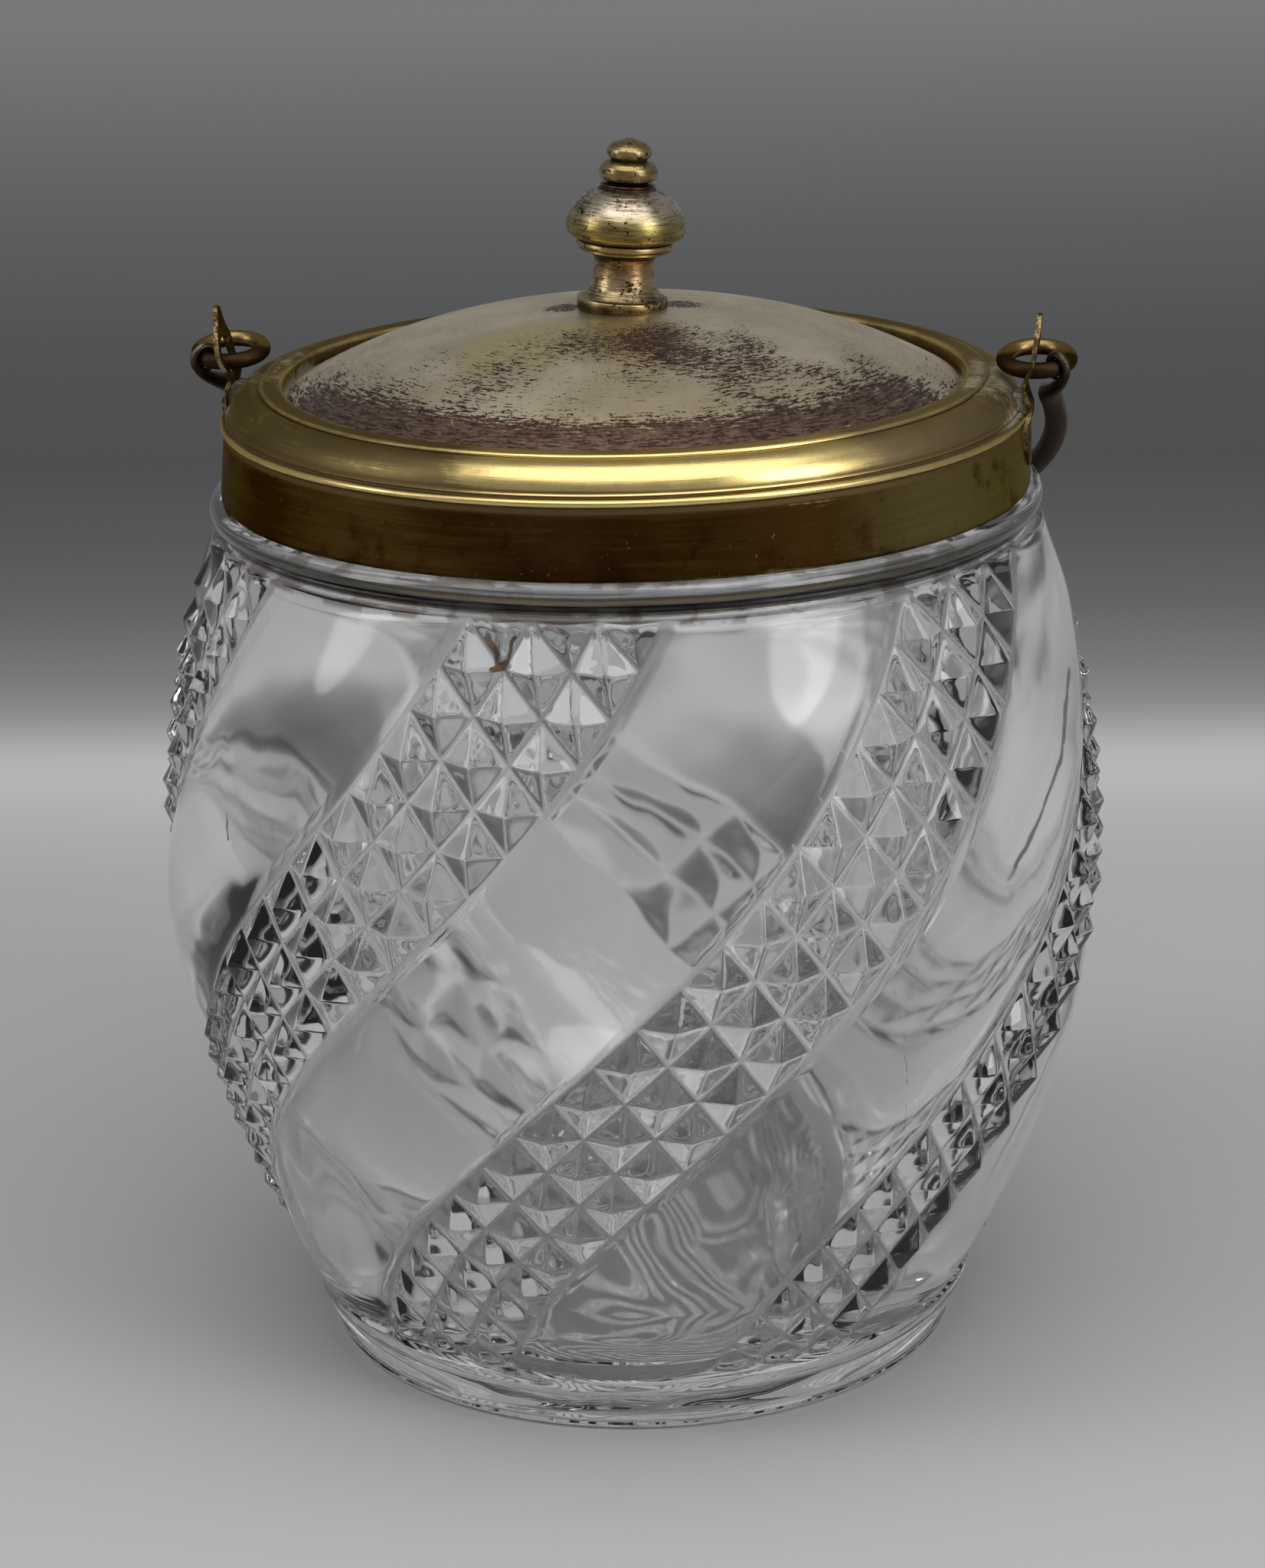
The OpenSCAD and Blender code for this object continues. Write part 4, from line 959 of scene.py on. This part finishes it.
def spaced(line, closed, gap):
    """Adds points on long stretches, and drops points that lie almost together."""
    result = [line[0]]
    for point in line[1:] + line[:1] * closed:
        reach = np.linalg.norm(point - result[-1])
        if reach < 0.04:
            continue
        count = ceil(reach / gap)
        result += [result[-1] + (point - result[-1]) * k / count for k in range(1, count + 1)]
    return np.array(result[:-1] if closed else result)

# %% How far a point stands out
CREST_SPREAD = 0.55  # mm of outline on each side that a point is compared with


def crest_of(line, closed):
    """How far each point stands out of the outline round it: above 0 on a crest."""
    ahead, behind = np.roll(line, -1, 0), np.roll(line, 1, 0)
    if not closed:
        ahead[-1], behind[0] = line[-1], line[0]
    local = np.linalg.norm(ahead - behind, axis=1)
    along = np.r_[0, np.cumsum(np.linalg.norm(np.diff(line, axis=0), axis=1))]
    apart = np.abs(along[:, None] - along)
    if closed:
        apart = np.minimum(apart, along[-1] + np.linalg.norm(line[0] - line[-1]) - apart)
    weight = np.exp(-(apart / CREST_SPREAD) ** 2 / 2) * local
    mean = weight @ line / weight.sum(1)[:, None]
    normal = (ahead - behind)[:, ::-1] * (1, -1) / local[:, None]
    return ((line - mean) * normal).sum(1) / CREST_SPREAD * 2

# %% Spin
def skin(name, points, faces, crest, material, weld=0.0):
    """A piece from points in mm, its faces and how far each point stands out."""
    mesh = bpy.data.meshes.new(name)
    mesh.from_pydata((points * MM).tolist(), [], faces)
    carry(mesh, "crest", crest)
    bm = bmesh.new()
    bm.from_mesh(mesh)
    if weld:
        bmesh.ops.remove_doubles(bm, verts=bm.verts[:], dist=weld)
    finish_mesh(bm, mesh, 50)
    return shown(name, mesh, material)


STEPS_ROUND, WAVE_SIZE = 192, 25


def spin(name, outline, material, uneven, closed=True, ease=0.18, gap=0.7, settle=None):
    """Spins an outline of (radius, height) round Z, with a radius uneven by some mm."""
    line = spaced(eased(outline, closed, ease), closed, gap)
    crest = crest_of(line, closed)
    turn = np.linspace(0, tau, STEPS_ROUND, endpoint=False)
    r, z = np.repeat(line, STEPS_ROUND, 0).T
    a = np.tile(turn, len(line))
    wave = np.array([noise.noise(Vector((cos(t) * s, sin(t) * s, h / WAVE_SIZE)))
                     for s, h, t in zip(r / WAVE_SIZE, z, a)])
    r = r + uneven * wave * (r > 1)
    points = np.stack([r * np.cos(a), r * np.sin(a), z], 1)
    if settle:
        points = settle(points)
    rings = len(line) if closed else len(line) - 1
    i = np.arange(rings * STEPS_ROUND)
    ring, step = i // STEPS_ROUND, i % STEPS_ROUND
    across, up = (step + 1) % STEPS_ROUND, (ring + 1) % len(line)
    faces = np.stack([ring * STEPS_ROUND + step, ring * STEPS_ROUND + across,
                      up * STEPS_ROUND + across, up * STEPS_ROUND + step], 1)
    return skin(name, points, faces.tolist(), np.repeat(crest, STEPS_ROUND), material, 1e-7)

# %% [markdown]
# ## Collar
# The collar hides the rough glass neck and carries everything else: a plain band, a bead that
# stiffens it, a broad rounded shoulder, and a lip. Inside the lip a step forms the lid's seat,
# and the sheet goes on down as the throat. The sheet is 0.8 mm thick, and the outline follows
# both of its faces. A slight unevenness in the radius makes its highlights waver.

# %% Collar
SHEET, LIP_Z, SEAT_Z, THROAT_R, WELL_R, LIP_R = 0.8, 146.5, 143.9, 46.2, 49.5, 52.9
BAND_TOP_R, BAND_TOP_Z, COLLAR_R = 58.2, 140.5, 59.0
SHOULDER_C, SHOULDER_ROUND = (53.4, 142.0), 4.0
collar_line = (
    [(COLLAR_R - 0.1, COLLAR_Z), (COLLAR_R + 0.05, COLLAR_Z + 0.5), (BAND_TOP_R, BAND_TOP_Z - 0.1)]
    + arc(BAND_TOP_R - 0.05, BAND_TOP_Z + 0.55, 0.55, -65, 75, 6)
    + [(57.62, 141.68), (57.55, 141.85), (57.72, 142.0), (57.6, 142.15), (57.44, 142.28)]
    + arc(*SHOULDER_C, SHOULDER_ROUND, 6, 90, 12)
    + [(53.15, 145.95), (53.0, 145.78), (52.86, 145.82)]
    + arc(LIP_R - 0.45, LIP_Z - 0.5, 0.48, 0, 90, 4) + [(51.2, LIP_Z)]
    + arc(WELL_R + 0.6, LIP_Z - 0.6, 0.6, 90, 180, 4)
    + [(WELL_R, SEAT_Z), (THROAT_R + 0.6, SEAT_Z), (THROAT_R, SEAT_Z - 0.6),
       (THROAT_R, 137.3), (THROAT_R + SHEET, 137.3), (THROAT_R + SHEET, SEAT_Z - SHEET),
       (WELL_R + SHEET, SEAT_Z - SHEET), (WELL_R + SHEET, 145.2)]
    + arc(*SHOULDER_C, SHOULDER_ROUND - SHEET, 90, 0, 8)
    + [(57.4, 141.2), (BAND_TOP_R - SHEET, BAND_TOP_Z), (COLLAR_R - SHEET, COLLAR_Z)])
collar = spin("spun_collar", collar_line, collar_brass, 0.09, gap=0.8)
dress(collar, "collar", "jar")

# %% [markdown]
# ## Lid
# The lid is a low dome of the same sheet, plated with silver and worn: the plate is creamy
# where it is whole, yellow where it is thin, and a brown film is left near the rim at the
# front, in flecks that run round with the spinning marks.

# %% Lid
def dome_z(r):
    """The height of the dome at a radius."""
    return APEX_Z - DOME_H * (r / LID_R) ** DOME_POWER


STUD_HOLE_R = 2.1
dome_radii = [STUD_HOLE_R + (LID_R - 0.4 - STUD_HOLE_R) * i / 30 for i in range(31)]
lid_line = ([(LID_R - 1.4, SEAT_Z), (LID_R - 0.15, SEAT_Z), (LID_R, SEAT_Z + 0.3),
             (LID_R - 0.05, SEAT_Z + 0.75)]
            + [(r, dome_z(r)) for r in reversed(dome_radii)]
            + [(r, max(SEAT_Z, dome_z(r) - SHEET)) for r in dome_radii if r < LID_R - 1.6])
lid = spin("spun_lid", lid_line, worn_silver, 0.05)
dress(lid, "lid_dome", "lid")

# %% [markdown]
# ## Finial
# Four turnings sit on one stud: a pedestal with a flange, a bulb, a bead and a cap. The stud
# has bent a little, so they all lean the same way. Each is spun upright and then tipped.

# %% Finial
BORE_R = 1.9
lean_turn = np.array(Matrix.Rotation(radians(LEAN), 3, "Y"))


def tipped(points):
    """Leans the points with the stud and keeps them out of the lid's sheet."""
    points = points @ lean_turn.T + (0, 0, APEX_Z)
    points[:, 2] = np.maximum(points[:, 2], dome_z(np.hypot(*points[:, :2].T)) - 0.15)
    return points


FINIAL = {  # whether the outline is closed round a bore, and its (radius, height) points
    "finial_pedestal": (True, [
        (6.35, -0.8), (6.48, 0.1), (6.58, 0.3), (6.58, 1.4), (6.48, 1.52), (6.15, 1.58),
        (5.95, 1.72), (5.5, 2.2), (4.95, 2.95), (4.6, 3.9), (4.36, 5.0), (4.24, 6.1), (4.32, 6.9),
        (4.6, 7.5), (5.1, 7.95), (5.8, 8.2), (6.6, 8.38), (6.72, 8.5), (6.6, 8.75), (6.75, 8.85),
        (7.0, 9.0), (7.1, 9.25), (7.02, 9.6), (6.9, 9.78), (BORE_R, 9.78), (BORE_R, -0.8)]),
    "finial_bulb": (True, [
        (BORE_R, 9.82), (6.8, 9.82), (7.0, 10.0), (7.7, 10.2), (8.3, 10.7), (8.58, 11.4),
        (8.6, 12.0), (8.5, 12.8), (8.2, 13.7), (7.75, 14.5), (7.1, 15.35), (6.3, 16.05),
        (5.3, 16.65), (4.5, 17.0), (4.1, 17.2), (3.95, 17.4), (3.85, 17.6), (4.0, 17.75),
        (3.9, 17.95), (3.4, 18.05), (BORE_R, 18.08)]),
    "finial_bead": (True, [
        (BORE_R, 18.12), (3.0, 18.12), (3.15, 18.35), (3.8, 18.55), (4.15, 19.05), (4.25, 19.7),
        (4.1, 20.4), (3.7, 20.9), (3.1, 21.2), (2.75, 21.3), (BORE_R, 21.32)]),
    "finial_cap": (False, [
        (0, 21.36), (2.6, 21.36), (2.75, 21.55), (3.1, 21.85), (3.28, 22.4), (3.2, 22.9),
        (2.85, 23.35), (2.2, 23.75), (1.3, 24.1), (0.5, 24.38), (0, 24.45)])}
for name, (closed, outline) in FINIAL.items():
    piece = spin(name + "_turned", outline, finial_silver, 0.03, closed, ease=0.14, gap=0.4,
                 settle=tipped)
    dress(piece, name, "lid")

# %% [markdown]
# ## Ears
# Each ear is a tongue of sheet brass, cut out with snips, bent by hand and soldered on: flat on
# the band, out over the bead, in at the waist, with a large hole for the link. It is grown from
# its hole: rings of points spread from the hole to the cut edge, and each point then moves out
# to the bent outline at its height. The cut edges carry some crest, so they are rubbed bright.

# %% Ears
EAR_X, HINGE_Z, EAR_T, EAR_HOLE_R, EAR_RINGS = 59.6, 148.4, 0.7, 2.7, 9
DENT_DEPTH, DENT_SIZE, WAIST_FROM, HOLE_CREST, EDGE_CREST = 0.14, 3.2, 142.5, 0.2, 0.3
# The bend seen from the side as (radius, height), then the cut edge as (y, height)
ear_side = spaced(eased([
    (58.44, 133.5), (58.24, 139.9), (58.75, 141.05), (58.65, 142.75), (58.05, 144.25),
    (57.75, 145.5), (58.875, 147.6), (59.25, 149.2), (60.05, 156.1)], False, 1.0), False, 0.2)
half_edge = (arc(0, -10.4, 4.5, -90, 0, 8) + [(4.5, -8.9), (3.4, -6.35), (3.0, -3.4)]
             + arc(0, 0, 4.4, -25, 50, 8) + arc(0, 6.0, 1.2, 25, 90, 5))
ear_edge = spaced(eased(half_edge + [(-y, z) for y, z in half_edge[-2:0:-1]], True, 0.5),
                  True, 0.35)
print("points on an ear's cut edge:", len(ear_edge))


def ear(name, side, node):
    """An ear on the side x > 0 (side 1) or x < 0 (side -1)."""
    bearings = np.arctan2(ear_edge[:, 1], ear_edge[:, 0])
    hole = EAR_HOLE_R * np.stack([np.cos(bearings), np.sin(bearings)], 1)
    flat = np.concatenate([hole + (ear_edge - hole) * k / EAR_RINGS for k in range(EAR_RINGS + 1)])
    y, z = flat[:, 0], flat[:, 1] + HINGE_Z
    bent = np.interp(z, ear_side[:, 1], ear_side[:, 0])
    dents = np.array([noise.noise(Vector((a / DENT_SIZE, b / DENT_SIZE, side * 7)))
                      for a, b in zip(y, z)])
    bent = bent + DENT_DEPTH * np.where(z < WAIST_FROM, np.abs(dents), dents)
    count = len(ear_edge)
    rim = np.tile(np.repeat([HOLE_CREST] + [0.0] * (EAR_RINGS - 1) + [EDGE_CREST], count), 2)
    layers = [np.stack([side * np.sqrt((bent + out) ** 2 - y * y), y, z], 1)
              for out in (0.02, EAR_T)]
    faces = []
    for i in range(count):
        j, last = (i + 1) % count, EAR_RINGS * count
        for k in range(EAR_RINGS):
            low, high = k * count, (k + 1) * count
            faces += [(base + low + i, base + low + j, base + high + j, base + high + i)
                      for base in (0, len(flat))]
        faces += [(edge + i, edge + j, len(flat) + edge + j, len(flat) + edge + i)
                  for edge in (0, last)]
    piece = skin(name, np.concatenate(layers), faces, rim, ear_brass)
    rounding = piece.modifiers.new("snipped edge", "BEVEL")
    rounding.width, rounding.segments, rounding.limit_method = 0.14 * MM, 2, "ANGLE"
    rounding.angle_limit = radians(50)
    dress(piece, node, "jar")


ear("left_tongue", -1, "left_ear")
ear("right_tongue", 1, "right_ear")

# %% [markdown]
# ## Links and bail
# The links are rings of thick wire and the bail is a bar, forged thinner at its ends, where it
# hooks round the links. All follow a path, so one Geometry Nodes tree makes them: it takes a
# path of points that carry a thickness, and lays a round section along it. Hammered metal is
# never quite even, so the tree also moves the skin in and out a little.

# %% The tree of bar and wire
# The upper side is rubbed and also painted lighter, as if lit from above; the underside is painted
# shade
RUB_AND_TOP_LIGHT_SHARE = 0.45  # how strongly the upper side counts as a crest


def bar_tree(name, material):
    """A tree that lays a round, slightly uneven section along a path."""
    tree, feed, give = group(
        name, "GeometryNodeTree",
        {"Path": ("Geometry",), "Sides": ("Int", 24), "Unevenness": ("Float", 0.04),
         "Lumps": ("Float", 300.0)}, {"Geometry": ("Geometry",)})
    thickness = add(tree, "GeometryNodeInputNamedAttribute", "thickness", out=0, data_type="FLOAT")
    section = add(tree, "GeometryNodeCurvePrimitiveCircle", named={
        "Resolution": feed["Sides"], "Radius": 1.0})
    path = add(tree, "GeometryNodeMeshToCurve", feed["Path"])
    mesh = add(tree, "GeometryNodeCurveToMesh", path, section, thickness, True)
    lump = grain(add(tree, "GeometryNodeInputPosition"), feed["Lumps"], 1.0) - 0.5
    out = add(tree, "ShaderNodeVectorMath", add(tree, "GeometryNodeInputNormal"),
              operation="SCALE", named={"Scale": lump * feed["Unevenness"] * MM})
    mesh = add(tree, "GeometryNodeSetPosition", mesh, None, None, out)
    mesh = add(tree, "GeometryNodeRealizeInstances", mesh)
    give("Geometry", add(tree, "GeometryNodeSetMaterial", mesh, None, material))
    return tree


def bar(name, path, thickness, closed, material, node, slot, **inputs):
    """A bar or wire along a path, rubbed bright on its upper side, which is also painted light from
    above, and darker beneath as painted shade.
    """
    mesh = bpy.data.meshes.new(name + "_path")
    count = len(path)
    mesh.from_pydata([tuple(p * MM) for p in np.array(path)],
                     [(i, (i + 1) % count) for i in range(count if closed else count - 1)], [])
    carry(mesh, "thickness", np.broadcast_to(np.array(thickness) * MM, count))
    mesh = grow(name, bar_tree(name + "_tree", material), inputs, mesh)
    bm = bmesh.new()
    bm.from_mesh(mesh)
    bmesh.ops.remove_doubles(bm, verts=bm.verts[:], dist=1e-6)
    finish_mesh(bm, mesh, 60)
    # painted light and shade: the crest is how far each point faces up
    carry(mesh, "crest", [v.normal.z * RUB_AND_TOP_LIGHT_SHARE for v in mesh.vertices])
    dress(shown(name, mesh, material), node, "bail")

# %% Links
LINK_R, LINK_WIRE_R, LINK_SAG, LINK_TILT = 4.7, 1.2, 1.2, 10
tilt_turn = np.array(Matrix.Rotation(radians(LINK_TILT), 3, "X"))


def link_point(turn, out=0.0, up=0.0):
    """A place on the right-hand link, `turn` degrees round from the ear's hole."""
    flat = ((LINK_R + out) * sin(radians(turn)), LINK_R - (LINK_R + out) * cos(radians(turn)), up)
    return tilt_turn @ flat + (EAR_X, 0, HINGE_Z - LINK_SAG)


for side, name in ((1, "right_link"), (-1, "left_link")):
    ring = [link_point(a) * (side, 1, 1) for a in np.linspace(0, 360, 96, endpoint=False)]
    bar(name + "_ring", ring, LINK_WIRE_R, True, link_brass, name, "link_brass",
        Unevenness=0.05)

# %% Bail
ARCH_R, ARCH_OFF, BAIL_DROP, BAR_R, HOOK_R = 61.8, 21.3, 32.75, 1.7, 0.6
EYE_TURN, HOOK_TURN, ARM_TURN = 43, radians(300), radians(7)
drop_turn = np.array(Matrix.Rotation(radians(-BAIL_DROP), 3, "X"))


def arch_point(x, q):
    """A place in the bail's own plane, q mm back from the hinge line."""
    return drop_turn @ (x, q, 0.0) + (0, 0, HINGE_Z)


def bezier(pins, t):
    """A place on the curve of four pins, t of the way along."""
    return sum(pin * weight for pin, weight in zip(
        pins, ((1 - t) ** 3, 3 * (1 - t) ** 2 * t, 3 * (1 - t) * t * t, t ** 3)))


wire_gap = LINK_WIRE_R + HOOK_R + 0.05
out_dir = link_point(EYE_TURN, 1.0) - link_point(EYE_TURN)
up_dir = link_point(EYE_TURN, 0.0, 1.0) - link_point(EYE_TURN)
leave = radians(-38)
hook = [link_point(EYE_TURN) + wire_gap * (cos(a) * out_dir + sin(a) * up_dir)
        for a in np.linspace(leave + HOOK_TURN, leave, 28)]
hook_aim = sin(leave) * out_dir - cos(leave) * up_dir
arm_end = np.array((ARCH_R * cos(ARM_TURN), ARCH_OFF - ARCH_R * sin(ARM_TURN)))
arm_pins = [hook[-1], hook[-1] + 4.0 * hook_aim,
            arch_point(arm_end[0] - 4 * sin(ARM_TURN), arm_end[1] - 4 * cos(ARM_TURN)),
            arch_point(*arm_end)]
arm = [bezier(arm_pins, t) for t in np.linspace(0, 1, 18)[1:-1]]
arch = [arch_point(ARCH_R * cos(a), ARCH_OFF + ARCH_R * sin(a))
        for a in np.linspace(-ARM_TURN, pi / 2, 60)]
half = hook + arm + arch
half_thick = ([HOOK_R * min(1, 0.4 + 0.15 * i) for i in range(len(hook))]
              + list(np.interp(np.arange(len(arm)), (0, len(arm) - 3), (HOOK_R * 1.3, BAR_R)))
              + [BAR_R] * len(arch))
bail_path = half + [p * (-1, 1, 1) for p in reversed(half[:-1])]
bar("bail_rod", bail_path, half_thick + half_thick[-2::-1], False, bar_bronze, "bail_bar",
    "bar_bronze", Sides=28, Unevenness=0.06, Lumps=160.0)

# %% [markdown]
# ## Pieces that keep their CAD shape
# The solder, the plaster and the parts under the lid are simple, and mostly hidden, so their
# solids stay as they are and only get a finish.

# %% Materials on the CAD nodes
for names, material in ((("left_solder", "right_solder"), solder_grey),
                        (("finial_stud", "finial_washer", "finial_nut", "lid_skirt"),
                         inside_brass),
                        (("plaster_bed",), plaster_white)):
    for name in names:
        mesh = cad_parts[name].data
        mesh.materials.clear()
        mesh.materials.append(material)
        print(name, "is finished in", material.name)
